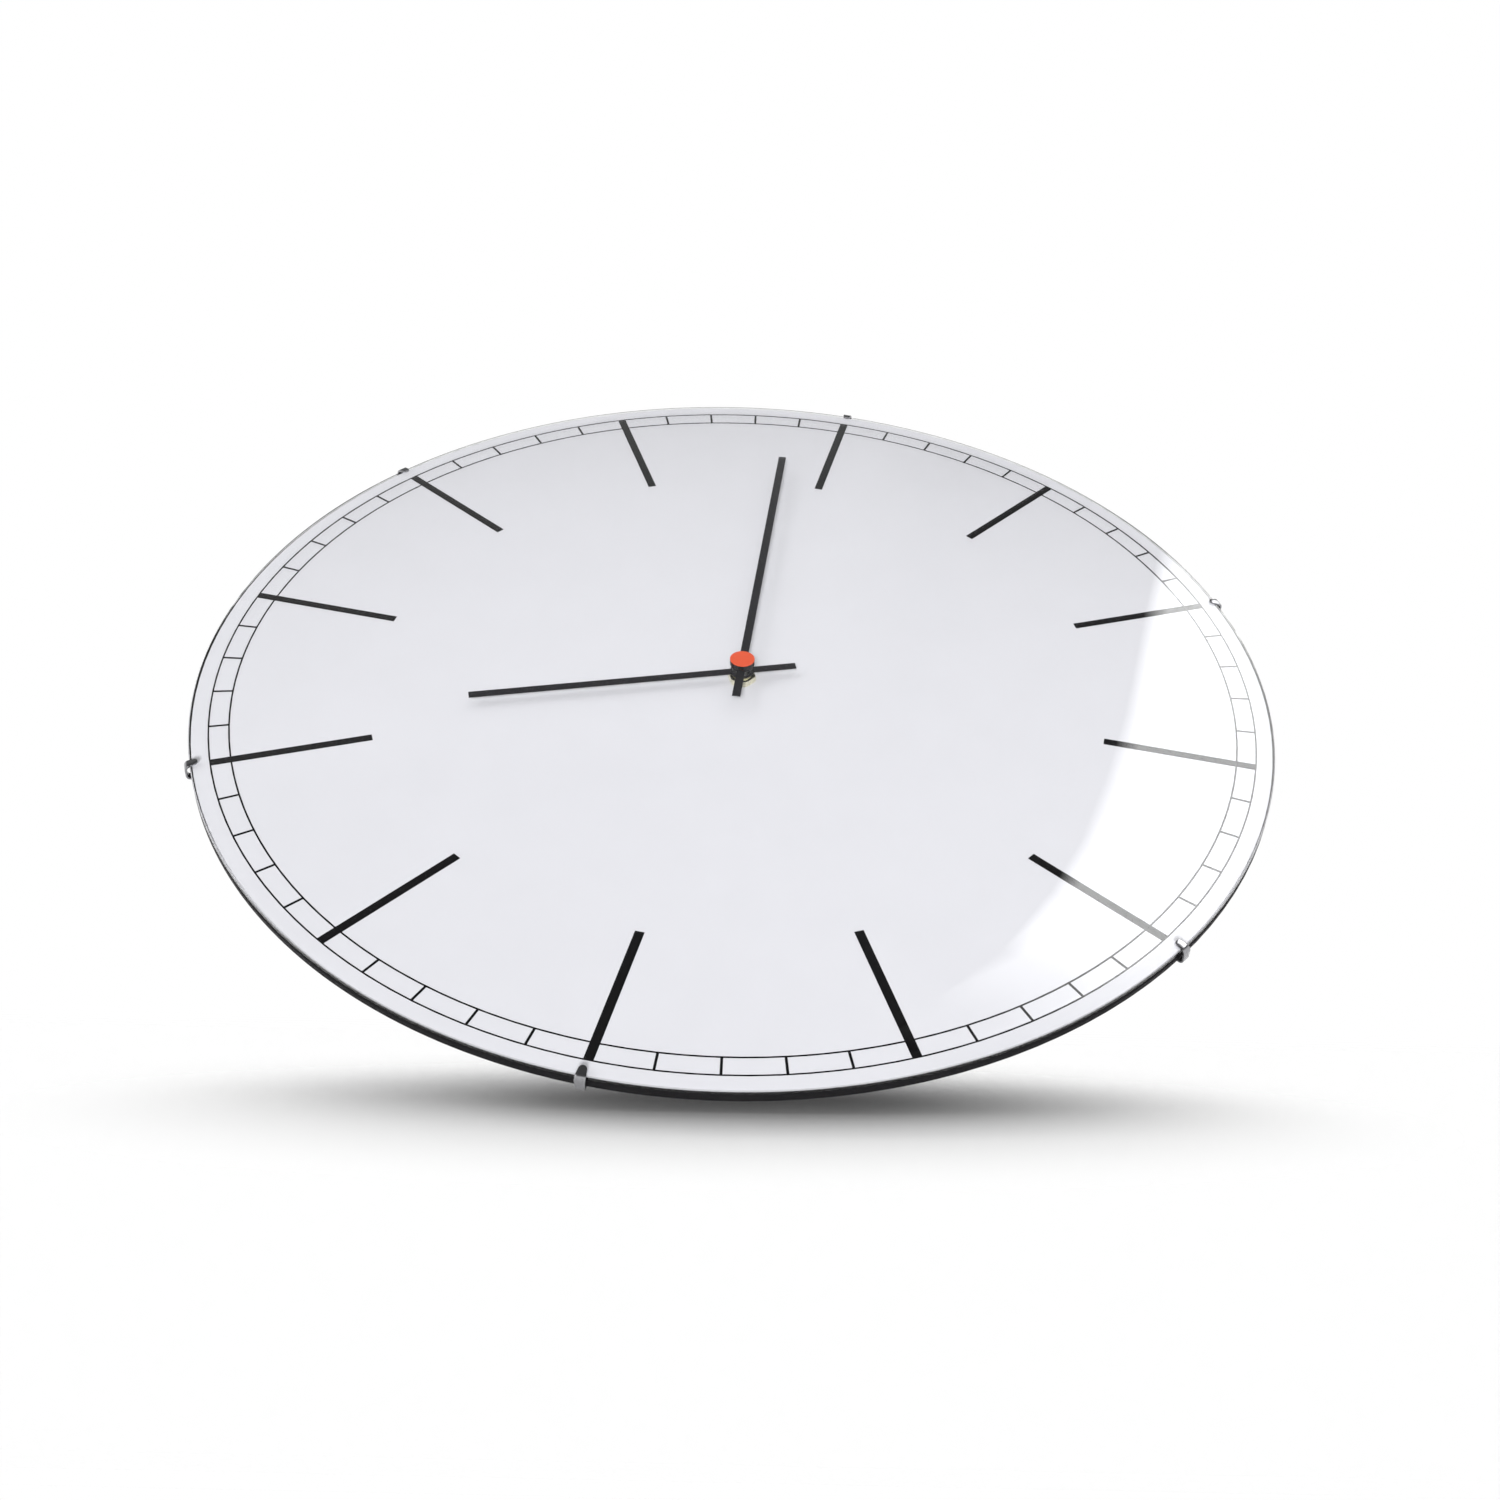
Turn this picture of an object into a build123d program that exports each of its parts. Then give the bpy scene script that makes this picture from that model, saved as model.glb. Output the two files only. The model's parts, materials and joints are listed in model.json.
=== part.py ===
from build123d import *
from math import acos, cos, pi, radians, sin, sqrt, tan
import os

# A wall clock under a domed glass, modelled lying on its back: z = 0 is the wall,
# +z points at the viewer, +x at three o'clock and +y at twelve. hang() stands it up and
# moves the origin to the keyhole that it hangs by.
# All sizes are in millimetres and degrees.

# Case
OVERALL_DIA = 450.0
CASE_DEPTH = 25.0
CASE_WALL = 2.0
RIM_THICKNESS = 2.8
RIM_WIDTH = 13.0
FOOT_INSET = 35.0
FOOT_WIDTH = 14.0
FOOT_STEP = 1.5
CASE_EDGE_R = 0.7
WINDOW_MARGIN = 4.0
WINDOW_CORNER_R = 6.0
KEYHOLE_R = 5.0
KEYHOLE_SLOT_W = 5.0
KEYHOLE_SLOT_LENGTH = 11.0
HANGER_WIDTH = 20.0
HANGER_END = 14.0
HANGER_MARGIN = 4.5
HANGER_HEAD_ROOM = 0.6
RIVET_R = 1.6
RIVET_HEAD_R = 2.8
RIVET_HEAD_T = 1.0
RIVET_INSET = 5.0

# Dial and its print
DIAL_THICKNESS = 0.8
DIAL_SETBACK = 1.2
TRACK_MARGIN = 5.0
TRACK_WIDTH = 7.9
TRACK_LINE_W = 0.65
TICK_W = 1.0
BAR_W = 3.65
BAR_LENGTH = 62.7
PRINT_THICKNESS = 0.08
MINUTES = 60
HOURS = 12

# Glass and its clips
GLASS_THICKNESS = 2.5
GLASS_RISE = 24.0
GLASS_SEAT_W = 3.0
GLASS_ARRIS = 0.4
CLIP_COUNT = 6
CLIP_THICKNESS = 0.8
CLIP_WIDTH = 4.2
CLIP_TIP_WIDTH = 2.8
CLIP_REACH = 4.0
CLIP_STAND_OFF = 1.3
CLIP_LEG = 9.0
CLIP_BEND_R = 1.2
CLIP_GAP = 0.03

# Hands, as they stand in the photograph, and the stack on the spindle
MINUTE_HAND_ANGLE = 52.9
HOUR_HAND_ANGLE = 306.0
MINUTE_HAND_LENGTH = 166.5
MINUTE_HAND_TAIL = 21.2
HOUR_HAND_LENGTH = 113.9
HOUR_HAND_TAIL = 23.1
HAND_WIDTH = 3.5
HAND_THICKNESS = 0.5
HOUR_HAND_HEIGHT = 4.25
MINUTE_HAND_HEIGHT = 7.35
HOUR_EYE_R = 5.0
MINUTE_EYE_R = 4.8
HOUR_BUSH_R = 3.3
HOUR_COLLAR_R = 4.3
MINUTE_BUSH_R = 2.6
MINUTE_COLLAR_R = 3.6
COLLAR_THICKNESS = 0.5
BUSH_SHANK = 0.8
CAP_R = 5.2
CAP_HEIGHT = 2.2
CAP_DISC_THICKNESS = 0.35
CAP_EDGE_R = 0.3
PIPE_STAND_UP = 0.5

# Spindle: pipes, threaded bush and nut
SECONDS_ARBOR_R = 0.55
MINUTE_PIPE_R = 1.6
HOUR_PIPE_R = 2.5
BUSH_R = 4.0
BUSH_FLANGE_R = 5.2
BUSH_FLANGE_T = 0.8
NUT_ACROSS_FLATS = 10.5
NUT_HEIGHT = 2.6
NUT_CHAMFER = 0.4
THREAD_STAND_UP = 0.4
WASHER_R = 10.0
WASHER_THICKNESS = 0.7
RUNNING_FIT = 0.08
SLIP_FIT = 0.15

# Quartz movement
MOVEMENT_SIZE = 56.0
MOVEMENT_DEPTH = 16.0
MOVEMENT_CORNER_R = 3.0
SHELL_WALL = 1.3
FRONT_WALL = 1.4
REAR_WALL = 1.4
FRONT_SHELL_DEPTH = 7.5
PARTITION_WALL = 0.9
BATTERY_R = 7.25
BATTERY_LENGTH = 50.5
BATTERY_NUB_R = 2.75
BATTERY_NUB_LENGTH = 1.3
BATTERY_ROOM = 0.4
BATTERY_EDGE_R = 0.6
CONTACT_THICKNESS = 0.4
CONTACT_WIDTH = 8.0
CONTACT_SPRING_SPAN = 8.0
CONTACT_SPRING_T = 0.3
BRIDGE_THICKNESS = 1.0
BRIDGE_WIDTH = 46.0
BRIDGE_HEIGHT = 25.5
BRIDGE_CENTRE = (1.0, 3.3)
POST_R = 1.5
BRIDGE_POSTS = ((-19.5, -6.5), (13.5, 13.4), (21.5, -7.0))
KNOB_R = 5.0
KNOB_THICKNESS = 2.2
KNOB_GAP = 0.2
KNOB_FLUTES = 20
KNOB_FLUTE_R = 0.6

# Teeth: counts, and the distances between centres that set the modules
PRESSURE_ANGLE = 20.0
ADDENDUM = 0.85
DEDENDUM = 1.25
TOOTH_SHARE = 0.42
FINE_TOOTH_COUNT = 20
ROTOR_TEETH = 12
INTERMEDIATE_TEETH = 60
INTERMEDIATE_PINION_TEETH = 10
SECONDS_TEETH = 60
SECONDS_PINION_TEETH = 8
THIRD_TEETH = 60
THIRD_PINION_TEETH = 8
CENTRE_TEETH = 64
CANNON_TEETH = 10
MOTION_TEETH = 40
MOTION_PINION_TEETH = 14
HOUR_TEETH = 42
MOTION_DISTANCE = 11.2
THIRD_DISTANCE = 10.2
INTERMEDIATE_DISTANCE = 9.8
ROTOR_DISTANCE = 8.64
MOTION_DIRECTION = 85.0
THIRD_DIRECTION = 10.0
INTERMEDIATE_DIRECTION = 185.0
ROTOR_DIRECTION = 110.0
PIVOT_R = 0.5
PIVOT_DEPTH = 0.8
MOTION_ARBOR_R = 1.0
MAGNET_R = 3.0
MAGNET_LENGTH = 2.5

# Depths of the train below the movement's front face
WHEEL_THICKNESS = 0.8
HOUR_WHEEL_DEPTH = 1.9
HOUR_WHEEL_THICKNESS = 1.2
MOTION_WHEEL_DEPTH = 3.7
CENTRE_WHEEL_DEPTH = 5.4
THIRD_WHEEL_DEPTH = 7.0
SECONDS_WHEEL_DEPTH = 8.4
INTERMEDIATE_WHEEL_DEPTH = 9.8
PINION_OVERLAP = 0.2
BRIDGE_DEPTH = 11.2
CANNON_TAIL_R = 1.3
CANNON_TAIL_DEPTH = 6.6

# Motor and circuit
STATOR_DEPTH = 7.2
STATOR_THICKNESS = 1.0
STATOR_CORE_W = 3.5
STATOR_LENGTH = 21.8
STATOR_WIDTH = 19.9
STATOR_LEFT = -25.4
STATOR_LOW = 2.5
STATOR_YOKE = 11.0
STATOR_BORE_GAP = 0.5
BOBBIN_FLANGE = 7.6
BOBBIN_FLANGE_T = 0.8
BOBBIN_WALL = 0.6
WINDING_SIZE = 6.6
BOARD_WIDTH = 22.0
BOARD_HEIGHT = 9.8
BOARD_THICKNESS = 0.8
BOARD_DEPTH = 8.5
BOARD_CENTRE = (15.0, 21.2)
CHIP_R = 2.4
CHIP_HEIGHT = 0.9
CRYSTAL_R = 1.0
CRYSTAL_LENGTH = 6.0
SMALL_POST_R = 1.2

# Sizes that follow from the ones above
OUTER_R = OVERALL_DIA / 2
FOOT_OUTER_R = OUTER_R - FOOT_INSET
HANGER_TOP = FOOT_OUTER_R - FOOT_WIDTH - FOOT_STEP - HANGER_MARGIN
KEYHOLE_HEIGHT = HANGER_TOP - HANGER_END - KEYHOLE_R - KEYHOLE_SLOT_LENGTH
DIAL_Z = CASE_DEPTH + DIAL_THICKNESS
FRONT_Z = CASE_DEPTH - WASHER_THICKNESS
HALF = MOVEMENT_SIZE / 2
BAY_TOP = -HALF + SHELL_WALL + 2 * (BATTERY_R + BATTERY_ROOM)
BATTERY_DEPTH = MOVEMENT_DEPTH - BATTERY_R
HOUR_PIPE_TOP = HOUR_HAND_HEIGHT + HAND_THICKNESS + COLLAR_THICKNESS
MINUTE_COLLAR_TOP = MINUTE_HAND_HEIGHT + HAND_THICKNESS + COLLAR_THICKNESS
MINUTE_PIPE_TOP = MINUTE_COLLAR_TOP + PIPE_STAND_UP
GLASS_SEAT_R = OUTER_R - GLASS_SEAT_W
TRACK_OUTER_R = GLASS_SEAT_R - TRACK_MARGIN
TRACK_INNER_R = TRACK_OUTER_R - TRACK_WIDTH
GLASS_INNER_RADIUS = (GLASS_SEAT_R**2 + GLASS_RISE**2) / (2 * GLASS_RISE)
GLASS_CENTRE_Z = DIAL_Z + GLASS_RISE - GLASS_INNER_RADIUS
ROTOR_MODULE = 2 * ROTOR_DISTANCE / (ROTOR_TEETH + INTERMEDIATE_TEETH)
INTERMEDIATE_MODULE = 2 * INTERMEDIATE_DISTANCE / (INTERMEDIATE_PINION_TEETH + SECONDS_TEETH)
SECONDS_MODULE = 2 * THIRD_DISTANCE / (SECONDS_PINION_TEETH + THIRD_TEETH)
THIRD_MODULE = 2 * THIRD_DISTANCE / (THIRD_PINION_TEETH + CENTRE_TEETH)
CANNON_MODULE = 2 * MOTION_DISTANCE / (CANNON_TEETH + MOTION_TEETH)
HOUR_MODULE = 2 * MOTION_DISTANCE / (MOTION_PINION_TEETH + HOUR_TEETH)
UP = (Align.CENTER, Align.CENTER, Align.MIN)


def polar(radius, degrees, start=(0.0, 0.0)):
    """A point at a distance and direction from another, anticlockwise from three o'clock."""
    return (start[0] + radius * cos(radians(degrees)), start[1] + radius * sin(radians(degrees)))


MOTION_AXIS = polar(MOTION_DISTANCE, MOTION_DIRECTION)
THIRD_AXIS = polar(THIRD_DISTANCE, THIRD_DIRECTION)
INTERMEDIATE_AXIS = polar(INTERMEDIATE_DISTANCE, INTERMEDIATE_DIRECTION)
ROTOR_AXIS = polar(ROTOR_DISTANCE, ROTOR_DIRECTION, INTERMEDIATE_AXIS)


def clock_turn(degrees):
    """A turn by a clock angle: 0 is twelve o'clock and the angle grows clockwise."""
    return Rot(0, 0, 90 - degrees)


def depth(value):
    """Height of a level that is given as a depth below the movement's front face."""
    return FRONT_Z - value


def post(radius, low, high, place=(0.0, 0.0)):
    """A round post between two heights."""
    return Pos(place[0], place[1], low) * Cylinder(radius, high - low, align=UP)


def tube(outer_r, inner_r, low, high, place=(0.0, 0.0)):
    """A round tube between two heights."""
    return post(outer_r, low, high, place) - post(inner_r, low, high, place)


def glass_height(radius, offset):
    """Height of the dome at a radius, on the sphere that lies offset outside the inner one."""
    return GLASS_CENTRE_Z + sqrt((GLASS_INNER_RADIUS + offset) ** 2 - radius**2)


def turned(*edges):
    """A solid of revolution about the spindle from edges drawn as (radius, height)."""
    return revolve(Plane.XZ * make_face(edges), Axis.Z)


def gear_outline(teeth, module, phase):
    """Outline of a toothed wheel, with one tooth centred on the phase angle."""
    pitch_r = teeth * module / 2
    base_r = pitch_r * cos(radians(PRESSURE_ANGLE))
    root_r = pitch_r - DEDENDUM * module
    tip_r = pitch_r + ADDENDUM * module
    pitch_half = TOOTH_SHARE * pi / teeth
    involute_at_pitch = tan(radians(PRESSURE_ANGLE)) - radians(PRESSURE_ANGLE)

    def half_angle(radius):
        roll = acos(min(1.0, base_r / radius))
        return pitch_half + involute_at_pitch - (tan(roll) - roll)

    flank = [root_r, tip_r]
    if teeth < FINE_TOOTH_COUNT:
        flank_low = max(base_r, root_r + (pitch_r - root_r) / 2)
        flank = [root_r, flank_low, pitch_r + ADDENDUM * module / 2, tip_r]
    points = []
    for tooth in range(teeth):
        centre = radians(phase) + 2 * pi * tooth / teeth
        for side, radii in ((-1, flank), (1, flank[::-1])):
            for radius in radii:
                angle = centre + side * half_angle(radius)
                points.append((radius * cos(angle), radius * sin(angle)))
    return make_face(Polyline(*points, close=True))


def gear(teeth, module, low, high, place=(0.0, 0.0), phase=0.0):
    """A toothed wheel between two heights."""
    return Pos(place[0], place[1], low) * extrude(gear_outline(teeth, module, phase), high - low)


def gap_phase(teeth, direction):
    """The phase that puts a gap between teeth towards a direction."""
    return direction + 180 / teeth


def wheel_span(wheel_depth, thickness=WHEEL_THICKNESS, extra=0.0):
    """The low and high faces of a wheel, or of a pinion that is longer by extra at each end."""
    return depth(wheel_depth + thickness + extra), depth(wheel_depth - extra)


def upright_slot(width):
    """A round-ended slot that runs up from the middle of the keyhole's entry."""
    rounds = Circle(width / 2) + Pos(0, KEYHOLE_SLOT_LENGTH) * Circle(width / 2)
    return rounds + Pos(0, KEYHOLE_SLOT_LENGTH / 2) * Rectangle(width, KEYHOLE_SLOT_LENGTH)


def case_back():
    """Dished black case: rim, slanting wall, foot ring, window, and room for the head of the wall screw."""
    rim_low = CASE_DEPTH - RIM_THICKNESS
    wall_top_r = OUTER_R - RIM_WIDTH
    panel = FOOT_STEP + CASE_WALL
    foot_inner_r = FOOT_OUTER_R - FOOT_WIDTH
    slant = (wall_top_r - FOOT_OUTER_R) / rim_low
    wall_across = CASE_WALL * sqrt(1 + slant**2)
    inner_foot_r = FOOT_OUTER_R + slant * CASE_WALL - wall_across
    inner_r = MOVEMENT_SIZE / 4
    profile = FilletPolyline(
        (inner_r, FOOT_STEP),
        (foot_inner_r - FOOT_STEP, FOOT_STEP),
        (foot_inner_r, 0),
        (FOOT_OUTER_R, 0),
        (wall_top_r, rim_low),
        (OUTER_R, rim_low),
        (OUTER_R, CASE_DEPTH),
        (wall_top_r + slant * RIM_THICKNESS - wall_across, CASE_DEPTH),
        (inner_foot_r, CASE_WALL),
        (foot_inner_r + CASE_WALL, CASE_WALL),
        (foot_inner_r + CASE_WALL - FOOT_STEP, panel),
        (inner_r, panel),
        radius=CASE_EDGE_R,
        close=True,
    )
    window_size = MOVEMENT_SIZE + 2 * WINDOW_MARGIN
    window = RectangleRounded(window_size, window_size, WINDOW_CORNER_R)
    head_slot = Pos(0, KEYHOLE_HEIGHT) * upright_slot(2 * (KEYHOLE_R + HANGER_HEAD_ROOM))
    body = turned(*profile.edges()) - extrude(window + head_slot, CASE_DEPTH)
    for height in rivet_heights():
        body -= post(RIVET_R, 0, CASE_DEPTH, (0, height))
    return body


def hanger_reach():
    """Heights of the hanger plate's lower and upper end above the spindle."""
    return KEYHOLE_HEIGHT - KEYHOLE_R - HANGER_END, HANGER_TOP


def rivet_heights():
    """Heights of the hanger's two rivets above the spindle."""
    low, high = hanger_reach()
    return low + RIVET_INSET, high - RIVET_INSET


def hanger_plate():
    """Steel plate with the keyhole, flush with the wall and riveted to the rear panel."""
    low, high = hanger_reach()
    plate = Pos(0, (low + high) / 2) * RectangleRounded(HANGER_WIDTH, high - low, RIVET_INSET)
    plate -= Pos(0, KEYHOLE_HEIGHT) * (Circle(KEYHOLE_R) + upright_slot(KEYHOLE_SLOT_W))
    for height in rivet_heights():
        plate -= Pos(0, height) * Circle(RIVET_R)
    return extrude(plate, FOOT_STEP)


def hanger_rivets():
    """Two rivets, flush in the hanger plate, with their heads inside the case."""
    panel = FOOT_STEP + CASE_WALL
    rivets = []
    for height in rivet_heights():
        head = post(RIVET_HEAD_R, panel, panel + RIVET_HEAD_T, (0, height))
        head = fillet(head.edges().group_by(Axis.Z)[-1], RIVET_HEAD_T / 2)
        rivets.append(post(RIVET_R, 0, panel, (0, height)) + head)
    return Compound(rivets)


def dial_plate():
    """White sheet dial with a hole for the threaded bush."""
    return tube(OUTER_R - DIAL_SETBACK, BUSH_R + SLIP_FIT, CASE_DEPTH, DIAL_Z)


def dial_print():
    """Black print: minute track of two circles with ticks between, and twelve hour bars."""
    half_line = TRACK_LINE_W / 2
    ink = Sketch()
    for radius in (TRACK_INNER_R, TRACK_OUTER_R):
        ink += Circle(radius + half_line) - Circle(radius - half_line)
    tick = Pos(TRACK_OUTER_R - TRACK_WIDTH / 2, 0) * Rectangle(TRACK_WIDTH, TICK_W)
    bar = Pos(TRACK_OUTER_R - BAR_LENGTH / 2, 0) * Rectangle(BAR_LENGTH, BAR_W)
    for minute in range(MINUTES):
        mark = tick if minute % (MINUTES // HOURS) else bar
        ink += clock_turn(minute * 360 / MINUTES) * mark
    return Pos(0, 0, DIAL_Z) * extrude(ink, PRINT_THICKNESS)


def glass_dome():
    """Domed glass of even thickness, ground flat where it sits on the dial."""
    edge_top = glass_height(OUTER_R, GLASS_THICKNESS)
    arris_top = glass_height(OUTER_R - GLASS_ARRIS, GLASS_THICKNESS)
    half_r = OUTER_R / 2
    inner_top = DIAL_Z + GLASS_RISE
    outer_top = inner_top + GLASS_THICKNESS
    inner = ThreePointArc((0, inner_top), (half_r, glass_height(half_r, 0)), (GLASS_SEAT_R, DIAL_Z))
    outer = ThreePointArc(
        (OUTER_R - GLASS_ARRIS, arris_top), (half_r, glass_height(half_r, GLASS_THICKNESS)), (0, outer_top)
    )
    edge = Polyline(
        (GLASS_SEAT_R, DIAL_Z),
        (OUTER_R - GLASS_ARRIS, DIAL_Z),
        (OUTER_R, DIAL_Z + GLASS_ARRIS),
        (OUTER_R, edge_top - GLASS_ARRIS),
        (OUTER_R - GLASS_ARRIS, arris_top),
    )
    axis_line = Line((0, outer_top), (0, inner_top))
    return turned(inner, *edge.edges(), outer, axis_line)


def rim_clip(degrees):
    """Spring clip bent from strip: a rounded tip on the glass, a leg, and a foot under the rim."""
    tip_r = OUTER_R - CLIP_REACH
    leg_r = OUTER_R + CLIP_STAND_OFF
    top = glass_height(tip_r, GLASS_THICKNESS) + CLIP_GAP
    low = CASE_DEPTH - RIM_THICKNESS
    foot_r = OUTER_R - CLIP_LEG
    middle = (top + low) / 2
    strip = make_face(
        Polyline(
            (tip_r, top),
            (leg_r, top),
            (leg_r, low),
            (foot_r, low),
            (foot_r, low - CLIP_THICKNESS),
            (leg_r + CLIP_THICKNESS, low - CLIP_THICKNESS),
            (leg_r + CLIP_THICKNESS, top + CLIP_THICKNESS),
            (tip_r, top + CLIP_THICKNESS),
            close=True,
        )
    )
    outer_corners = strip.vertices().group_by(Axis.X)[-1]
    bent = fillet(outer_corners, CLIP_BEND_R + CLIP_THICKNESS)
    on_leg = [v for v in bent.vertices() if abs(v.X - leg_r) < CLIP_GAP]
    inner_corners = [v for v in on_leg if low - CLIP_GAP < v.Y < top + CLIP_GAP]
    bent = fillet(inner_corners, CLIP_BEND_R)
    body = extrude(Plane.XZ * bent, CLIP_WIDTH / 2, both=True)
    tip_round = CLIP_TIP_WIDTH / 2
    tongue = make_face(
        Polyline(
            (tip_r + tip_round, -tip_round),
            (leg_r, -CLIP_WIDTH / 2),
            (leg_r + 2 * CLIP_WIDTH, -CLIP_WIDTH / 2),
            (leg_r + 2 * CLIP_WIDTH, CLIP_WIDTH / 2),
            (leg_r, CLIP_WIDTH / 2),
            (tip_r + tip_round, tip_round),
            close=True,
        )
    ) + Pos(tip_r + tip_round, 0) * Circle(tip_round)
    above = Pos((tip_r + leg_r) / 2, 0) * Rectangle(4 * CLIP_REACH, 2 * CLIP_WIDTH)
    trim = Pos(0, 0, middle) * extrude(above - tongue, GLASS_RISE)
    return clock_turn(degrees) * (body - trim)


def hand_plate(length, tail, eye_r, hole_r, height, degrees):
    """A straight hand cut from sheet, with an eye round its bush and a tail."""
    blade = Pos((length - tail) / 2, 0) * Rectangle(length + tail, HAND_WIDTH)
    plate = extrude(blade + Circle(eye_r) - Circle(hole_r), HAND_THICKNESS)
    return clock_turn(degrees) * (Pos(0, 0, DIAL_Z + height) * plate)


def hand_bush(shank_r, collar_r, bore_r, height):
    """The turned bush of a hand: a shank through the plate and a collar on top of it."""
    base = DIAL_Z + height
    collar_low = base + HAND_THICKNESS
    shank = tube(shank_r, bore_r, base - BUSH_SHANK, collar_low)
    return shank + tube(collar_r, bore_r, collar_low, collar_low + COLLAR_THICKNESS)


def hour_hand():
    return hand_plate(
        HOUR_HAND_LENGTH,
        HOUR_HAND_TAIL,
        HOUR_EYE_R,
        HOUR_BUSH_R,
        HOUR_HAND_HEIGHT,
        HOUR_HAND_ANGLE,
    )


def minute_hand():
    return hand_plate(
        MINUTE_HAND_LENGTH,
        MINUTE_HAND_TAIL,
        MINUTE_EYE_R,
        MINUTE_BUSH_R,
        MINUTE_HAND_HEIGHT,
        MINUTE_HAND_ANGLE,
    )


def hour_hand_bush():
    return hand_bush(HOUR_BUSH_R, HOUR_COLLAR_R, HOUR_PIPE_R, HOUR_HAND_HEIGHT)


def minute_hand_bush():
    return hand_bush(MINUTE_BUSH_R, MINUTE_COLLAR_R, MINUTE_PIPE_R, MINUTE_HAND_HEIGHT)


def hand_cap():
    """Black push-on cap over the end of the minute pipe."""
    low = DIAL_Z + MINUTE_COLLAR_TOP
    return post(CAP_R, low, low + CAP_HEIGHT) - post(MINUTE_PIPE_R, low, DIAL_Z + MINUTE_PIPE_TOP)


def cap_disc():
    """Coloured disc on top of the cap, with a rounded upper edge."""
    low = DIAL_Z + MINUTE_COLLAR_TOP + CAP_HEIGHT
    disc = post(CAP_R, low, low + CAP_DISC_THICKNESS)
    return fillet(disc.edges().group_by(Axis.Z)[-1], min(CAP_EDGE_R, CAP_DISC_THICKNESS / 2))


def threaded_bush():
    """Brass bush that holds the movement to the dial, flanged inside the front shell."""
    top = DIAL_Z + NUT_HEIGHT + THREAD_STAND_UP
    bore = HOUR_PIPE_R + RUNNING_FIT
    return tube(BUSH_R, bore, depth(FRONT_WALL), top) + tube(
        BUSH_FLANGE_R, bore, depth(FRONT_WALL), depth(FRONT_WALL - BUSH_FLANGE_T)
    )


def hex_nut():
    """Brass hexagon nut on the dial, with chamfered corners."""
    blank = extrude(RegularPolygon(NUT_ACROSS_FLATS / 2, 6, major_radius=False), NUT_HEIGHT)
    corner_r = NUT_ACROSS_FLATS / 2 / cos(pi / 6)
    corner_edges = Cylinder(corner_r, NUT_HEIGHT, align=UP).edges().filter_by(GeomType.CIRCLE)
    turned_blank = chamfer(corner_edges, NUT_CHAMFER)
    return Pos(0, 0, DIAL_Z) * (blank & turned_blank - Cylinder(BUSH_R, NUT_HEIGHT, align=UP))


def rubber_washer():
    return tube(WASHER_R, BUSH_R + SLIP_FIT, FRONT_Z, CASE_DEPTH)


def shell_outline(low, high):
    """A block of the movement's outline between two heights."""
    block = extrude(RectangleRounded(MOVEMENT_SIZE, MOVEMENT_SIZE, MOVEMENT_CORNER_R), high - low)
    return Pos(0, 0, low) * block


def chamber(y_low, y_high, low, high):
    """A rectangular room in the movement, as wide as the walls leave."""
    width = MOVEMENT_SIZE - 2 * SHELL_WALL
    room = Box(width, y_high - y_low, high - low, align=(Align.CENTER, Align.MIN, Align.MIN))
    return Pos(0, y_low, low) * room


def movement_front_shell():
    """Front half of the movement: bush seat, pivot holes, and posts for bridge, stator and board."""
    low = depth(FRONT_SHELL_DEPTH)
    floor = depth(FRONT_WALL)
    shell = shell_outline(low, FRONT_Z)
    shell -= chamber(BAY_TOP + PARTITION_WALL, HALF - SHELL_WALL, low, floor)
    shell -= chamber(-HALF + SHELL_WALL, BAY_TOP, low, floor)
    for place in BRIDGE_POSTS:
        shell += post(POST_R, depth(BRIDGE_DEPTH), floor, place)
    for place in stator_posts():
        shell += post(SMALL_POST_R, depth(STATOR_DEPTH), floor, place)
    for place in board_posts():
        shell += post(SMALL_POST_R, depth(BOARD_DEPTH), floor, place)
    shell -= post(BUSH_R, floor, FRONT_Z)
    shell -= post(BUSH_FLANGE_R, floor, depth(FRONT_WALL - BUSH_FLANGE_T))
    pivot_end = depth(FRONT_WALL - PIVOT_DEPTH)
    for place in (THIRD_AXIS, INTERMEDIATE_AXIS, ROTOR_AXIS, MOTION_AXIS):
        shell -= post(PIVOT_R + RUNNING_FIT, floor, pivot_end, place)
    return shell


def movement_rear_shell():
    """Rear half of the movement: closed over the train, open at the battery bay."""
    low = depth(MOVEMENT_DEPTH)
    high = depth(FRONT_SHELL_DEPTH)
    shell = shell_outline(low, high)
    shell -= chamber(BAY_TOP + PARTITION_WALL, HALF - SHELL_WALL, low + REAR_WALL, high)
    shell -= chamber(-HALF + SHELL_WALL, BAY_TOP, low, high)
    return shell - post(MOTION_ARBOR_R + RUNNING_FIT, low, low + REAR_WALL, MOTION_AXIS)


def train_bridge():
    """Plate on three posts that carries the rear pivots of the train."""
    low, high = wheel_span(BRIDGE_DEPTH, BRIDGE_THICKNESS)
    plate = extrude(RectangleRounded(BRIDGE_WIDTH, BRIDGE_HEIGHT, POST_R), BRIDGE_THICKNESS)
    plate = Pos(BRIDGE_CENTRE[0], BRIDGE_CENTRE[1], low) * plate
    for place in (THIRD_AXIS, INTERMEDIATE_AXIS, ROTOR_AXIS):
        plate -= post(PIVOT_R + RUNNING_FIT, low, high, place)
    plate -= post(SECONDS_ARBOR_R + RUNNING_FIT, low, high)
    return plate - post(MOTION_ARBOR_R + SLIP_FIT, low, high, MOTION_AXIS)


def arbor(place):
    """A plain arbor from its hole in the front shell to its hole in the bridge."""
    front_end = depth(FRONT_WALL - PIVOT_DEPTH + RUNNING_FIT)
    return post(PIVOT_R, depth(BRIDGE_DEPTH + BRIDGE_THICKNESS), front_end, place)


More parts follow.
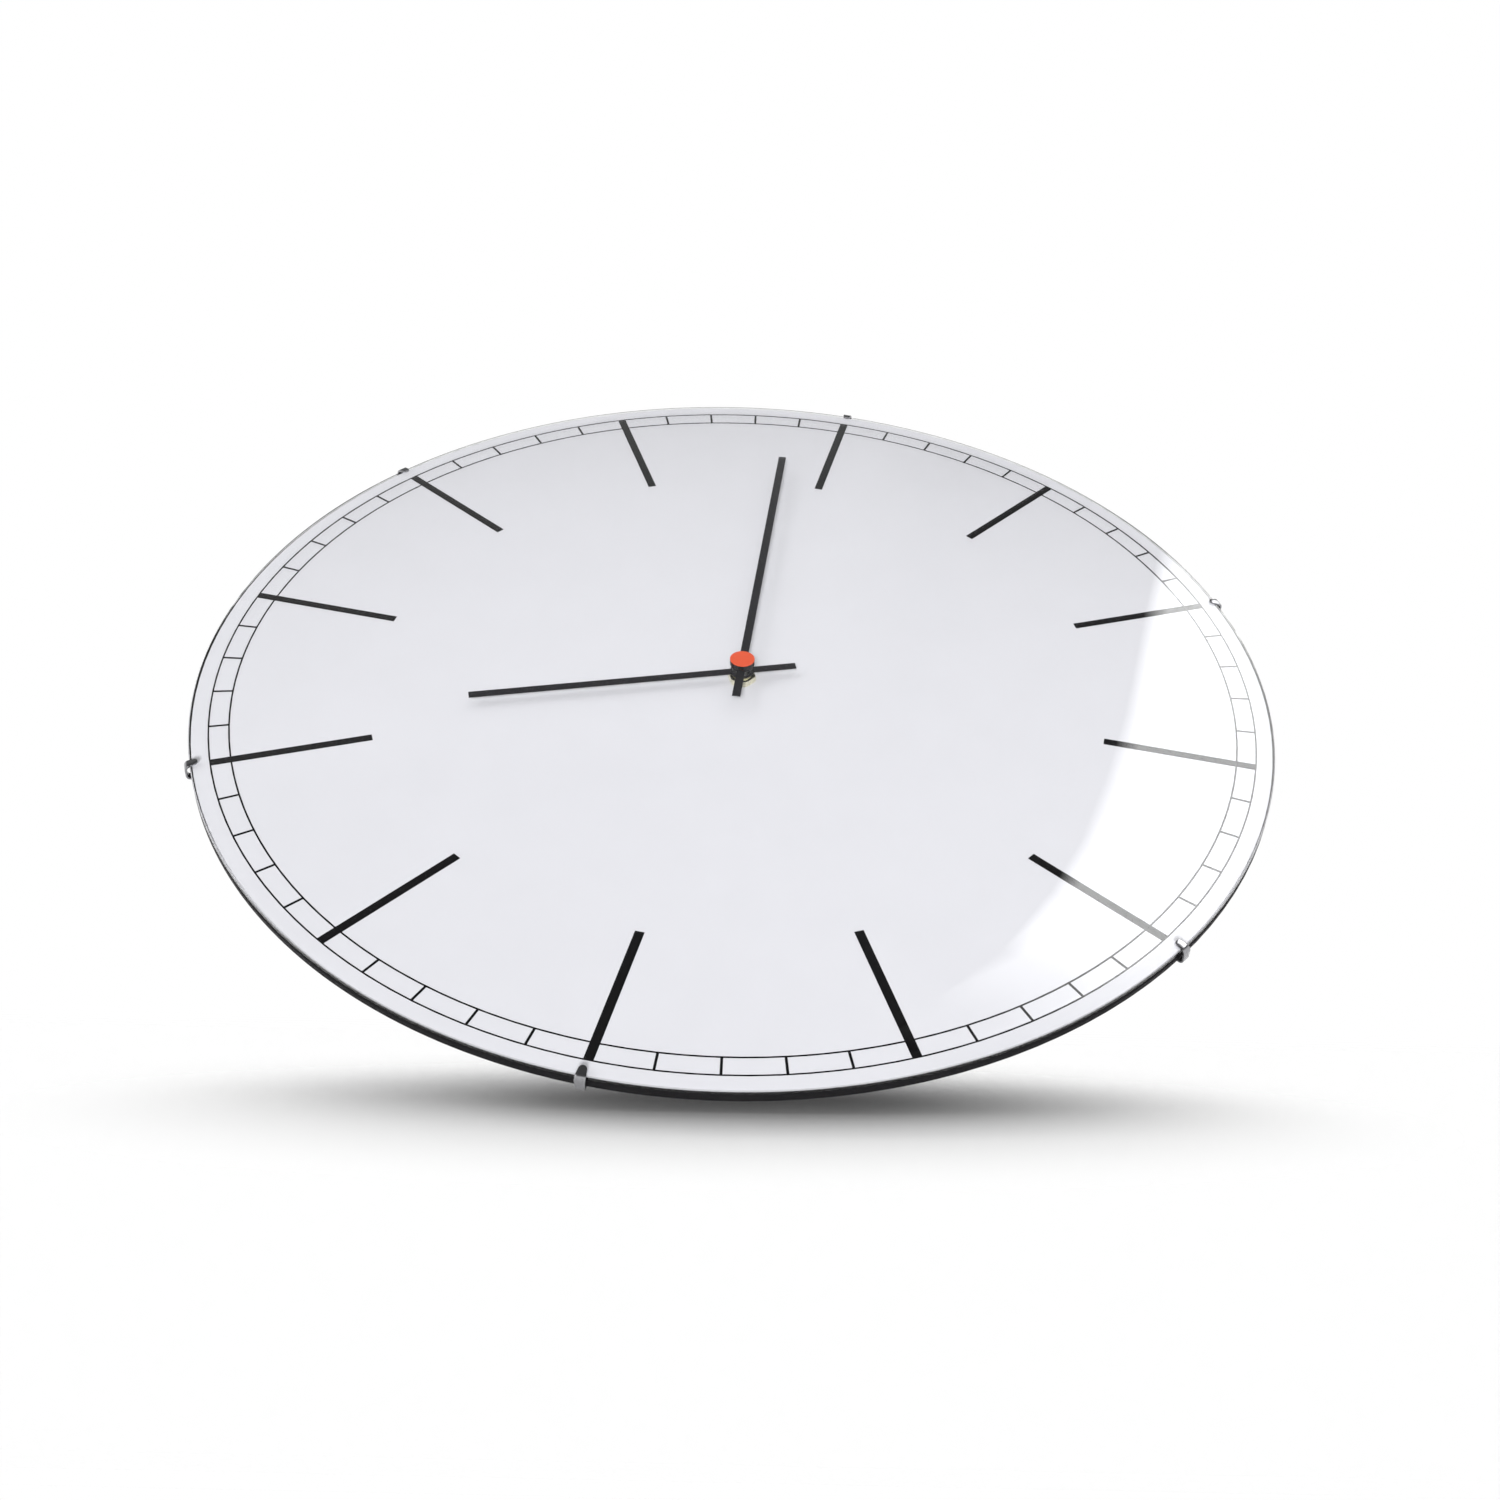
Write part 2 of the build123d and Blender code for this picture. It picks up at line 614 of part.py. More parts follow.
def hour_wheel():
    """Hour wheel with the pipe that carries the hour hand."""
    low, high = wheel_span(HOUR_WHEEL_DEPTH, HOUR_WHEEL_THICKNESS)
    phase = gap_phase(HOUR_TEETH, MOTION_DIRECTION)
    wheel = gear(HOUR_TEETH, HOUR_MODULE, low, high, phase=phase)
    wheel += post(HOUR_PIPE_R, low, DIAL_Z + HOUR_PIPE_TOP)
    return wheel - post(MINUTE_PIPE_R + RUNNING_FIT, low, DIAL_Z + HOUR_PIPE_TOP)


def cannon_pinion():
    """Minute pipe with the pinion that drives the hands' own train."""
    low, high = wheel_span(MOTION_WHEEL_DEPTH, extra=PINION_OVERLAP)
    top = DIAL_Z + MINUTE_PIPE_TOP
    pinion = gear(CANNON_TEETH, CANNON_MODULE, low, high, phase=MOTION_DIRECTION)
    pinion += post(MINUTE_PIPE_R, low, top)
    pinion += post(CANNON_TAIL_R, depth(CANNON_TAIL_DEPTH), low)
    return pinion - post(SECONDS_ARBOR_R + RUNNING_FIT, depth(CANNON_TAIL_DEPTH), top)


def motion_wheel():
    """Motion wheel and pinion on the arbor that runs back to the setting knob."""
    toward_centre = MOTION_DIRECTION + 180
    low, high = wheel_span(MOTION_WHEEL_DEPTH)
    pinion_high = wheel_span(HOUR_WHEEL_DEPTH, HOUR_WHEEL_THICKNESS, PINION_OVERLAP)[1]
    phase = gap_phase(MOTION_TEETH, toward_centre)
    wheel = gear(MOTION_TEETH, CANNON_MODULE, low, high, MOTION_AXIS, phase)
    wheel += gear(MOTION_PINION_TEETH, HOUR_MODULE, high, pinion_high, MOTION_AXIS, toward_centre)
    wheel += post(MOTION_ARBOR_R, depth(MOVEMENT_DEPTH + KNOB_GAP + KNOB_THICKNESS), low, MOTION_AXIS)
    return wheel + post(PIVOT_R, pinion_high, depth(FRONT_WALL - PIVOT_DEPTH + RUNNING_FIT), MOTION_AXIS)


def centre_wheel():
    """Centre wheel, held on the tail of the minute pipe by friction."""
    low, high = wheel_span(CENTRE_WHEEL_DEPTH)
    wheel = gear(CENTRE_TEETH, THIRD_MODULE, low, high, phase=gap_phase(CENTRE_TEETH, THIRD_DIRECTION))
    return wheel - post(CANNON_TAIL_R + RUNNING_FIT, low, high)


def third_wheel():
    """Third wheel and pinion, between the seconds pinion and the centre wheel."""
    toward_centre = THIRD_DIRECTION + 180
    low, high = wheel_span(THIRD_WHEEL_DEPTH)
    pinion_low, pinion_high = wheel_span(CENTRE_WHEEL_DEPTH, extra=PINION_OVERLAP)
    phase = gap_phase(THIRD_TEETH, toward_centre)
    wheel = gear(THIRD_TEETH, SECONDS_MODULE, low, high, THIRD_AXIS, phase)
    wheel += gear(THIRD_PINION_TEETH, THIRD_MODULE, pinion_low, pinion_high, THIRD_AXIS, toward_centre)
    return wheel + arbor(THIRD_AXIS)


def seconds_wheel():
    """Seconds wheel and pinion, on an arbor that runs inside the minute pipe."""
    low, high = wheel_span(SECONDS_WHEEL_DEPTH)
    pinion_low, pinion_high = wheel_span(THIRD_WHEEL_DEPTH, extra=PINION_OVERLAP)
    phase = gap_phase(SECONDS_TEETH, INTERMEDIATE_DIRECTION)
    wheel = gear(SECONDS_TEETH, INTERMEDIATE_MODULE, low, high, phase=phase)
    wheel += gear(SECONDS_PINION_TEETH, SECONDS_MODULE, pinion_low, pinion_high, phase=THIRD_DIRECTION)
    bridge_rear = depth(BRIDGE_DEPTH + BRIDGE_THICKNESS)
    return wheel + post(SECONDS_ARBOR_R, bridge_rear, DIAL_Z + MINUTE_HAND_HEIGHT)


def intermediate_wheel():
    """Intermediate wheel and pinion, between the rotor and the seconds wheel."""
    low, high = wheel_span(INTERMEDIATE_WHEEL_DEPTH)
    pinion_low, pinion_high = wheel_span(SECONDS_WHEEL_DEPTH, extra=PINION_OVERLAP)
    phase = gap_phase(INTERMEDIATE_TEETH, ROTOR_DIRECTION)
    wheel = gear(INTERMEDIATE_TEETH, ROTOR_MODULE, low, high, INTERMEDIATE_AXIS, phase)
    toward_centre = INTERMEDIATE_DIRECTION + 180
    wheel += gear(
        INTERMEDIATE_PINION_TEETH,
        INTERMEDIATE_MODULE,
        pinion_low,
        pinion_high,
        INTERMEDIATE_AXIS,
        toward_centre,
    )
    return wheel + arbor(INTERMEDIATE_AXIS)


def magnet_span():
    """The low and high faces of the rotor's magnet, centred on the stator."""
    middle = depth(STATOR_DEPTH + STATOR_THICKNESS / 2)
    return middle - MAGNET_LENGTH / 2, middle + MAGNET_LENGTH / 2


def rotor_magnet():
    low, high = magnet_span()
    return tube(MAGNET_R, PIVOT_R, low, high, ROTOR_AXIS)


def rotor_pinion():
    low, high = wheel_span(INTERMEDIATE_WHEEL_DEPTH, extra=PINION_OVERLAP)
    toward_wheel = ROTOR_DIRECTION + 180
    return gear(ROTOR_TEETH, ROTOR_MODULE, low, high, ROTOR_AXIS, toward_wheel) + arbor(ROTOR_AXIS)


def stator_posts():
    """Two posts under the side limbs of the stator."""
    left = STATOR_LEFT + STATOR_CORE_W / 2
    right = STATOR_LEFT + STATOR_WIDTH - STATOR_CORE_W / 2
    high = STATOR_LOW + STATOR_LENGTH - STATOR_CORE_W - SMALL_POST_R
    return ((left, high), (right, high))


def stator_core_y():
    return STATOR_LOW + STATOR_LENGTH - STATOR_CORE_W / 2


def stator():
    """Soft iron stator: a yoke round the rotor, two limbs and the core of the coil."""
    window_length = STATOR_LENGTH - STATOR_YOKE - STATOR_CORE_W
    corner = (Align.MIN, Align.MIN)
    outline = Pos(STATOR_LEFT, STATOR_LOW) * Rectangle(STATOR_WIDTH, STATOR_LENGTH, align=corner)
    opening = Rectangle(STATOR_WIDTH - 2 * STATOR_CORE_W, window_length, align=corner)
    outline -= Pos(STATOR_LEFT + STATOR_CORE_W, STATOR_LOW + STATOR_YOKE) * opening
    outline -= Pos(*ROTOR_AXIS) * Circle(MAGNET_R + STATOR_BORE_GAP)
    return Pos(0, 0, depth(STATOR_DEPTH + STATOR_THICKNESS)) * extrude(outline, STATOR_THICKNESS)


def coil_place():
    """Middle of the coil, on the stator's core."""
    return Pos(STATOR_LEFT + STATOR_WIDTH / 2, stator_core_y(), depth(STATOR_DEPTH + STATOR_THICKNESS / 2))


def coil_bobbin():
    """Moulded bobbin: a square sleeve on the core with a flange at each end."""
    length = STATOR_WIDTH - 2 * STATOR_CORE_W - 2 * RUNNING_FIT
    core_y = STATOR_CORE_W + 2 * RUNNING_FIT
    core_z = STATOR_THICKNESS + 2 * RUNNING_FIT
    body = Box(length, core_y + 2 * BOBBIN_WALL, core_z + 2 * BOBBIN_WALL)
    for side in (-1, 1):
        flange = Box(BOBBIN_FLANGE_T, BOBBIN_FLANGE, BOBBIN_FLANGE)
        body += Pos(side * (length - BOBBIN_FLANGE_T) / 2, 0, 0) * flange
    return coil_place() * (body - Box(length, core_y, core_z))


def coil_winding():
    """Copper winding between the bobbin's flanges."""
    length = STATOR_WIDTH - 2 * STATOR_CORE_W - 2 * RUNNING_FIT - 2 * BOBBIN_FLANGE_T
    sleeve_y = STATOR_CORE_W + 2 * RUNNING_FIT + 2 * BOBBIN_WALL
    sleeve_z = STATOR_THICKNESS + 2 * RUNNING_FIT + 2 * BOBBIN_WALL
    corner = (WINDING_SIZE - max(sleeve_y, sleeve_z)) / 2
    wound = fillet(Box(length, WINDING_SIZE, WINDING_SIZE).edges().filter_by(Axis.X), corner)
    return coil_place() * (wound - Box(length, sleeve_y, sleeve_z))


def board_posts():
    """Two posts at opposite corners of the circuit board."""
    reach_x = BOARD_WIDTH / 2 - 2 * SMALL_POST_R
    reach_y = BOARD_HEIGHT / 2 - 2 * SMALL_POST_R
    x, y = BOARD_CENTRE
    return ((x - reach_x, y + reach_y), (x + reach_x, y - reach_y))


def circuit_board():
    low = depth(BOARD_DEPTH + BOARD_THICKNESS)
    return Pos(*BOARD_CENTRE, low) * Box(BOARD_WIDTH, BOARD_HEIGHT, BOARD_THICKNESS, align=UP)


def chip():
    """Drop of black resin over the circuit, on the rear of the board."""
    x, y = BOARD_CENTRE
    rear = depth(BOARD_DEPTH + BOARD_THICKNESS)
    drop = post(CHIP_R, rear - CHIP_HEIGHT, rear, (x - BOARD_WIDTH / 4, y))
    return fillet(drop.edges().group_by(Axis.Z)[0], CHIP_HEIGHT / 2)


def quartz_crystal():
    """Metal can of the quartz crystal, lying on the rear of the board."""
    x, y = BOARD_CENTRE
    rear = depth(BOARD_DEPTH + BOARD_THICKNESS)
    can = Rot(0, 90, 0) * Cylinder(CRYSTAL_R, CRYSTAL_LENGTH)
    return Pos(x + BOARD_WIDTH / 4, y, rear - CRYSTAL_R) * can


def battery_axis():
    """Middle of the battery bay, on the battery's own axis."""
    return (-HALF + SHELL_WALL + BATTERY_ROOM + BATTERY_R, depth(BATTERY_DEPTH))


def battery_end():
    """Where the battery's nub meets the positive contact."""
    return HALF - SHELL_WALL - CONTACT_THICKNESS


def battery():
    """One AA cell."""
    y, z = battery_axis()
    body_length = BATTERY_LENGTH - BATTERY_NUB_LENGTH
    along = (Align.CENTER, Align.CENTER, Align.MAX)
    body = Cylinder(BATTERY_R, body_length, align=along)
    body = fillet(body.edges().filter_by(GeomType.CIRCLE), BATTERY_EDGE_R)
    nub = Cylinder(BATTERY_NUB_R, BATTERY_NUB_LENGTH, align=along)
    cell = Pos(0, 0, -BATTERY_NUB_LENGTH) * body + nub
    return Pos(battery_end(), y, z) * Rot(0, 90, 0) * cell


def battery_contact_positive():
    """Flat contact plate at the battery's nub."""
    y, z = battery_axis()
    outward = (Align.MIN, Align.CENTER, Align.CENTER)
    plate = Box(CONTACT_THICKNESS, CONTACT_WIDTH, CONTACT_WIDTH, align=outward)
    return Pos(battery_end(), y, z) * plate


def battery_contact_negative():
    """Contact plate with a bowed spring that presses on the flat end of the battery."""
    y, z = battery_axis()
    wall = -HALF + SHELL_WALL
    face = wall + CONTACT_THICKNESS
    reach = battery_end() - BATTERY_LENGTH
    half_span = CONTACT_SPRING_SPAN / 2
    bow = ThreePointArc((face, y - half_span), (reach, y), (face, y + half_span))
    inner = ThreePointArc(
        (face, y + half_span - CONTACT_SPRING_T),
        (reach - CONTACT_SPRING_T, y),
        (face, y - half_span + CONTACT_SPRING_T),
    )
    plate = Polyline(
        (face, y + half_span),
        (wall, y + half_span),
        (wall, y - half_span),
        (face, y - half_span),
    )
    inside = Line((face, y - half_span + CONTACT_SPRING_T), (face, y + half_span - CONTACT_SPRING_T))
    blank = make_face([bow, *plate.edges()]) - make_face([inner, inside])
    return Pos(0, 0, z - CONTACT_WIDTH / 2) * extrude(blank, CONTACT_WIDTH)


def setting_knob():
    """Fluted knob at the back for setting the hands."""
    low = depth(MOVEMENT_DEPTH + KNOB_GAP + KNOB_THICKNESS)
    outline = Circle(KNOB_R) - Circle(MOTION_ARBOR_R)
    for flute in range(KNOB_FLUTES):
        outline -= Pos(*polar(KNOB_R, flute * 360 / KNOB_FLUTES)) * Circle(KNOB_FLUTE_R)
    return Pos(*MOTION_AXIS, low) * extrude(outline, KNOB_THICKNESS)


def hang(piece):
    """Hang a piece on the wall: the keyhole is the origin, the dial faces -Y, twelve o'clock is +Z."""
    return Pos(0, 0, -KEYHOLE_HEIGHT) * Rot(90, 0, 0) * piece


NODES = {
    "case_back": case_back,
    "hanger_plate": hanger_plate,
    "hanger_rivets": hanger_rivets,
    "dial_plate": dial_plate,
    "dial_print": dial_print,
    "glass_dome": glass_dome,
    "rubber_washer": rubber_washer,
    "threaded_bush": threaded_bush,
    "hex_nut": hex_nut,
    "movement_front_shell": movement_front_shell,
    "movement_rear_shell": movement_rear_shell,
    "train_bridge": train_bridge,
    "hour_wheel": hour_wheel,
    "cannon_pinion": cannon_pinion,
    "motion_wheel": motion_wheel,
    "centre_wheel": centre_wheel,
    "third_wheel": third_wheel,
    "seconds_wheel": seconds_wheel,
    "intermediate_wheel": intermediate_wheel,
    "rotor_magnet": rotor_magnet,
    "rotor_pinion": rotor_pinion,
    "stator": stator,
    "coil_bobbin": coil_bobbin,
    "coil_winding": coil_winding,
    "circuit_board": circuit_board,
    "chip": chip,
    "quartz_crystal": quartz_crystal,
    "battery": battery,
    "battery_contact_positive": battery_contact_positive,
    "battery_contact_negative": battery_contact_negative,
    "setting_knob": setting_knob,
    "hour_hand": hour_hand,
    "hour_hand_bush": hour_hand_bush,
    "minute_hand": minute_hand,
    "minute_hand_bush": minute_hand_bush,
    "hand_cap": hand_cap,
    "cap_disc": cap_disc,
}

os.makedirs("parts", exist_ok=True)
for name, make in NODES.items():
    export_step(hang(make()), f"parts/{name}.step")
for number in range(CLIP_COUNT):
    export_step(hang(rim_clip(number * 360 / CLIP_COUNT)), f"parts/rim_clip_{number + 1}.step")
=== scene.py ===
import json
from math import asin, pi, radians, sqrt, tan

import bmesh
import bpy
from bpy.props import FloatProperty, FloatVectorProperty, IntProperty, PointerProperty
from bpy.types import NodeSocket, Operator, Panel, PropertyGroup
from mathutils import Matrix, Vector


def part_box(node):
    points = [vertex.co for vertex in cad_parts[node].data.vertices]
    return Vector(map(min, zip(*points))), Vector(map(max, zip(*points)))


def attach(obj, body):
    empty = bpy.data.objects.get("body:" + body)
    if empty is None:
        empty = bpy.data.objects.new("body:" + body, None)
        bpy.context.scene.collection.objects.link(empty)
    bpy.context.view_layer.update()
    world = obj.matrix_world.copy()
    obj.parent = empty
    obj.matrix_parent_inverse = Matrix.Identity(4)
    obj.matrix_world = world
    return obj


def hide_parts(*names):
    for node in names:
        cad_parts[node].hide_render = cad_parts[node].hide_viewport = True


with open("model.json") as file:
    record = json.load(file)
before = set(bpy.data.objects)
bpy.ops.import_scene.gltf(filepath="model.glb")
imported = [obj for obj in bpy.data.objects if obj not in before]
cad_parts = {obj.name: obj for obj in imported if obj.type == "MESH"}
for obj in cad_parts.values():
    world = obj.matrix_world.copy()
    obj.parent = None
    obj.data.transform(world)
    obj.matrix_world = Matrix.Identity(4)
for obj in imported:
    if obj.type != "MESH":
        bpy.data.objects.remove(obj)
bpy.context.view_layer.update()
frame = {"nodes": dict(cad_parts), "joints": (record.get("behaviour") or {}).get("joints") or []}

bl_info = {
    "name": "Domed wall clock",
    "version": (1, 0, 0),
    "blender": (4, 5, 0),
    "location": "3D View > Sidebar > Clock",
    "description": "Finishes, glass, clips, hands, movement details and studio for a wall clock",
    "category": "Object",
}

MM = 0.001
TINY = 1e-6

NODES = frame["nodes"]
JOINTS = {joint["name"]: joint for joint in frame["joints"]}
SPINDLE = Vector(JOINTS["minute_turn"]["pos_m"])
SPINDLE.y = 0.0
# Pieces are modelled lying on their back: x to three o'clock, y to twelve, z up from the wall.
HANG = Matrix.Translation(SPINDLE) @ Matrix.Rotation(pi / 2, 4, "X")


def reach(node):
    """Lowest and highest height of a node above the wall."""
    low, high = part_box(node)
    return -high.y, -low.y


DIAL_FACE = reach("dial_plate")[1]
GLASS_TOP = reach("glass_dome")[1]
GLASS_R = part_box("glass_dome")[1].x - SPINDLE.x
REAR_FACE = reach("movement_rear_shell")[0]
CLIP_NODES = [f"rim_clip_{number}" for number in range(1, 7)]
# Widths of a clip at the lower end of its leg and at the end of its foot, as shares of its full width.
LEG_SHARE, FOOT_SHARE = 0.8, 0.55
# Rounding of a clip's tongue, as a share of the tongue's width.
TONGUE_ROUND = 0.48
BEND_STEPS = 8
EYE_STEPS = 64
# Half section of an AA cell in millimetres, from the minus end to the nub: radius and height.
CELL_LINE = (
    (0.0, 0.0), (5.2, 0.0), (5.5, 0.35), (6.2, 0.35), (6.45, 0.1), (6.9, 0.15), (7.15, 0.4),
    (7.25, 0.8), (7.25, 38.0), (7.25, 47.9), (7.15, 48.5), (6.8, 48.95), (6.3, 49.1), (6.0, 48.85),
    (3.3, 48.85), (2.95, 49.1), (2.75, 49.5), (2.75, 50.15), (2.6, 50.4), (2.3, 50.5), (0.0, 50.5),
)
CELL_R, CELL_LENGTH = 7.25, 50.5
CELL_STEPS = 64
# The cell is sleeved outside this radius, and its pale band starts at this height.
SLEEVE_R, BAND_START = 6.4, 38.0
# The moulded polarity signs: their place beside the spindle and above the cell in millimetres, and how
# many strokes wide they are.
SIGN_ASIDE, SIGN_ABOVE = 21.5, 2.6
SIGN_STROKES = 3
# The turning arrow round the knob: its two radii and its head in millimetres, and its sweep in degrees.
ARROW_RADII, ARROW_HEAD = (7.6, 8.4), 2.4
ARROW_SWEEP, ARROW_STEPS = -130, 26
# The arrow's head is this many times as wide as its shaft.
ARROW_BARBS = 3
# The lightness of a finish drifts over lengths this many times longer than its grain.
DRIFT = 15
# How strongly the rings of a turned surface stand out against its noise.
RING_SHARE = 0.25
# Values that a finish turned on the lathe has.
TURNED = {"effect": "turning", "centre": SPINDLE}


def length(name, description, millimetres):
    """A setting for a length."""
    return FloatProperty(
        name=name, description=description, default=millimetres * MM, min=0.0, unit="LENGTH", precision=5
    )


def turn(name, description, degrees):
    """A setting for an angle."""
    return FloatProperty(name=name, description=description, default=radians(degrees), subtype="ANGLE")


def colour(name, description, value):
    """A setting for a colour."""
    return FloatVectorProperty(
        name=name, description=description, default=value, size=3, min=0.0, max=1.0, subtype="COLOR"
    )


def level(name, description, value):
    """A setting for a brightness."""
    return FloatProperty(name=name, description=description, default=value, min=0.0)


class ClockSizes(PropertyGroup):
    """Sizes of the pieces that are modelled here"""

    glass_thickness: length("Glass thickness", "Thickness of the domed glass", 2.5)
    glass_seat: length("Glass seat", "Width of the flat ground ring that sits on the dial", 3.0)
    glass_arris: length("Glass arris", "Chamfer ground on the edge of the glass", 0.4)
    glass_gap: length("Glass gap", "Air film between the ground ring and the dial", 0.04)
    glass_steps: IntProperty(name="Dome steps", description="Steps from apex to rim", default=32, min=8)
    round_steps: IntProperty(name="Turning steps", description="Steps round the glass", default=384, min=24)
    clip_thickness: length("Clip thickness", "Thickness of the clip strip", 0.8)
    clip_width: length("Clip width", "Width of the clip strip", 4.2)
    clip_tip: length("Clip tip width", "Width of the tongue that lies on the glass", 2.8)
    clip_reach: length("Clip reach", "How far the tongue reaches in over the glass", 3.5)
    clip_bend: length("Clip bend", "Inner radius of the clip's two bends", 1.2)
    clip_fall: length("Clip fall", "How much lower the tongue lies at the leg than at its tip", 1.16)
    clip_edge: length("Clip edge", "Rounding of the strip's stamped edges", 0.12)
    hand_width: length("Hand width", "Width of both blades", 3.5)
    hand_edge: length("Hand edge", "Rounding of the blades' stamped edges", 0.07)
    minute_length: length("Minute hand", "From the spindle to the tip of the minute hand", 166.5)
    minute_tail: length("Minute tail", "From the spindle to the end of the minute hand's tail", 21.2)
    minute_eye: length("Minute eye", "Radius of the eye of the minute hand", 4.8)
    minute_hole: length("Minute hole", "Radius of the hole for the minute hand's bush", 2.6)
    minute_angle: turn("Minute angle", "Clock angle of the minute hand at rest", 52.9)
    hour_length: length("Hour hand", "From the spindle to the tip of the hour hand", 113.9)
    hour_tail: length("Hour tail", "From the spindle to the end of the hour hand's tail", 23.1)
    hour_eye: length("Hour eye", "Radius of the eye of the hour hand", 5.0)
    hour_hole: length("Hour hole", "Radius of the hole for the hour hand's bush", 3.3)
    hour_angle: turn("Hour angle", "Clock angle of the hour hand at rest", 306.0)
    sign_size: length("Sign size", "Size of the moulded polarity signs", 3.0)
    sign_rise: length("Sign rise", "How far the moulded signs stand up", 0.25)


class ClockColours(PropertyGroup):
    """Colours of the finishes"""

    case: colour("Case", "Black moulded case", (0.011, 0.0106, 0.0115))
    dial: colour("Dial", "Cool white dial paint", (0.76, 0.755, 0.80))
    ink: colour("Print", "Black print on the dial", (0.0045, 0.0042, 0.005))
    hands: colour("Hands", "Satin black paint of the hands", (0.011, 0.0105, 0.0135))
    cap: colour("Cap", "Black side of the hand cap", (0.006, 0.006, 0.007))
    disc: colour("Cap disc", "Orange disc on top of the cap", (0.80, 0.088, 0.022))
    steel: colour("Steel", "Bright spring steel", (0.60, 0.60, 0.61))
    clip: colour("Clips", "Satin plated strip of the clips", (0.36, 0.36, 0.375))
    zinc: colour("Zinc plate", "Zinc plated hanger", (0.52, 0.53, 0.55))
    brass: colour("Brass", "Pale turned brass", (0.92, 0.88, 0.68))
    bush: colour("Hand bush", "Bright turned bushes of the hands", (0.70, 0.70, 0.71))
    glass: colour("Glass", "Clear float glass", (0.985, 0.995, 0.99))
    rubber: colour("Rubber", "Washer behind the dial", (0.018, 0.018, 0.019))
    movement: colour("Movement", "Black case of the movement", (0.016, 0.016, 0.018))
    wheel: colour("Wheels", "Natural white wheels", (0.74, 0.72, 0.66))
    bridge: colour("Bridge", "Grey plate of the train", (0.22, 0.23, 0.24))
    magnet: colour("Magnet", "Rotor magnet", (0.09, 0.085, 0.085))
    iron: colour("Iron", "Soft iron of the stator", (0.36, 0.355, 0.35))
    bobbin: colour("Bobbin", "Natural nylon of the bobbin", (0.62, 0.58, 0.48))
    copper: colour("Copper", "Enamelled copper wire", (0.72, 0.27, 0.12))
    board: colour("Board", "Brown circuit board", (0.20, 0.10, 0.045))
    resin: colour("Resin", "Black potting over the chip", (0.012, 0.012, 0.012))
    sleeve: colour("Battery sleeve", "Dark sleeve of the cell", (0.035, 0.037, 0.042))
    band: colour("Battery band", "Pale band at the cell's plus end", (0.55, 0.55, 0.56))
    knob: colour("Knob", "White setting knob", (0.66, 0.65, 0.62))


class ClockStudio(PropertyGroup):
    """Levels and places of the studio"""

    fill: level("Fill", "Soft light from the room that the dial faces", 0.47)
    fill_behind: level("Fill behind", "Soft light from behind the dial", 0.05)
    front: level("Front", "Soft lamp beside the camera", 0.95)
    overhead: level("Overhead", "Broad lamp above the floor", 0.08)
    key: level("Key", "Soft lamp from the upper left of the dial", 0.12)
    rear: level("Rear", "Soft lamp on the clock's back", 1.0)
    softbox: level("Softbox", "Brightness of the panel that the glass mirrors", 3.4)
    ceiling: level("Ceiling", "Brightness of the dark ceiling in reflections", 0.06)
    wall: level("Wall", "Brightness of the dim wall on the left in reflections", 0.18)
    backdrop: level("Backdrop", "Brightness of the pale surroundings in reflections", 1.0)
    floor_drop: length("Floor drop", "From the clock's lowest edge down to the floor", 4.0)
    floor_tilt: turn("Floor tilt", "How far the floor falls behind the clock", 6.0)
    floor_roll: turn("Floor roll", "How far the floor falls towards the right", 1.2)


def feed(tree, node, inputs):
    """Links the inputs of a shader node that are sockets and sets the rest."""
    for name, value in inputs.items():
        if isinstance(value, NodeSocket):
            tree.links.new(value, node.inputs[name])
        else:
            node.inputs[name].default_value = value


def add(tree, kind, inputs=None, **settings):
    """Adds a shader node with its settings and inputs."""
    made = tree.nodes.new("ShaderNode" + kind)
    for name, value in settings.items():
        setattr(made, name, value)
    feed(tree, made, inputs or {})
    return made


def calc(tree, operation, first, second):
    """Works out one value from two in a shader tree."""
    return add(tree, "Math", {0: first, 1: second}, operation=operation).outputs[0]


def distance(tree, place, axes):
    """Distance from the origin, measured along some of the axes."""
    kept = add(tree, "VectorMath", {0: place, 1: axes}, operation="MULTIPLY").outputs["Vector"]
    return add(tree, "VectorMath", {0: kept}, operation="LENGTH").outputs["Value"]


def start_effect(name, inputs, outputs):
    """Starts a node group with named sockets: its tree, its inputs and its output node."""
    tree = bpy.data.node_groups.new(name, "ShaderNodeTree")
    for label, value in inputs.items():
        kind = "NodeSocketFloat" if isinstance(value, float) else "NodeSocketVector"
        if label == "Colour":
            kind = "NodeSocketColor"
        tree.interface.new_socket(label, in_out="INPUT", socket_type=kind).default_value = value
    for label in outputs:
        kind = "NodeSocketColor" if label == "Colour" else "NodeSocketFloat"
        tree.interface.new_socket(label, in_out="OUTPUT", socket_type=kind)
    return tree, tree.nodes.new("NodeGroupInput").outputs, tree.nodes.new("NodeGroupOutput")


def put_out(tree, output, **sockets):
    """Links the results of a node group to its output."""
    for label, socket in sockets.items():
        tree.links.new(socket, output.inputs[label])


def spread_out(tree, value, low, high, start=0.3, end=0.7):
    """Maps part of a value's range, by default the middle of a noise, onto another range."""
    limits = {"Value": value, "From Min": start, "From Max": end, "To Min": low, "To Max": high}
    return add(tree, "MapRange", limits).outputs["Result"]


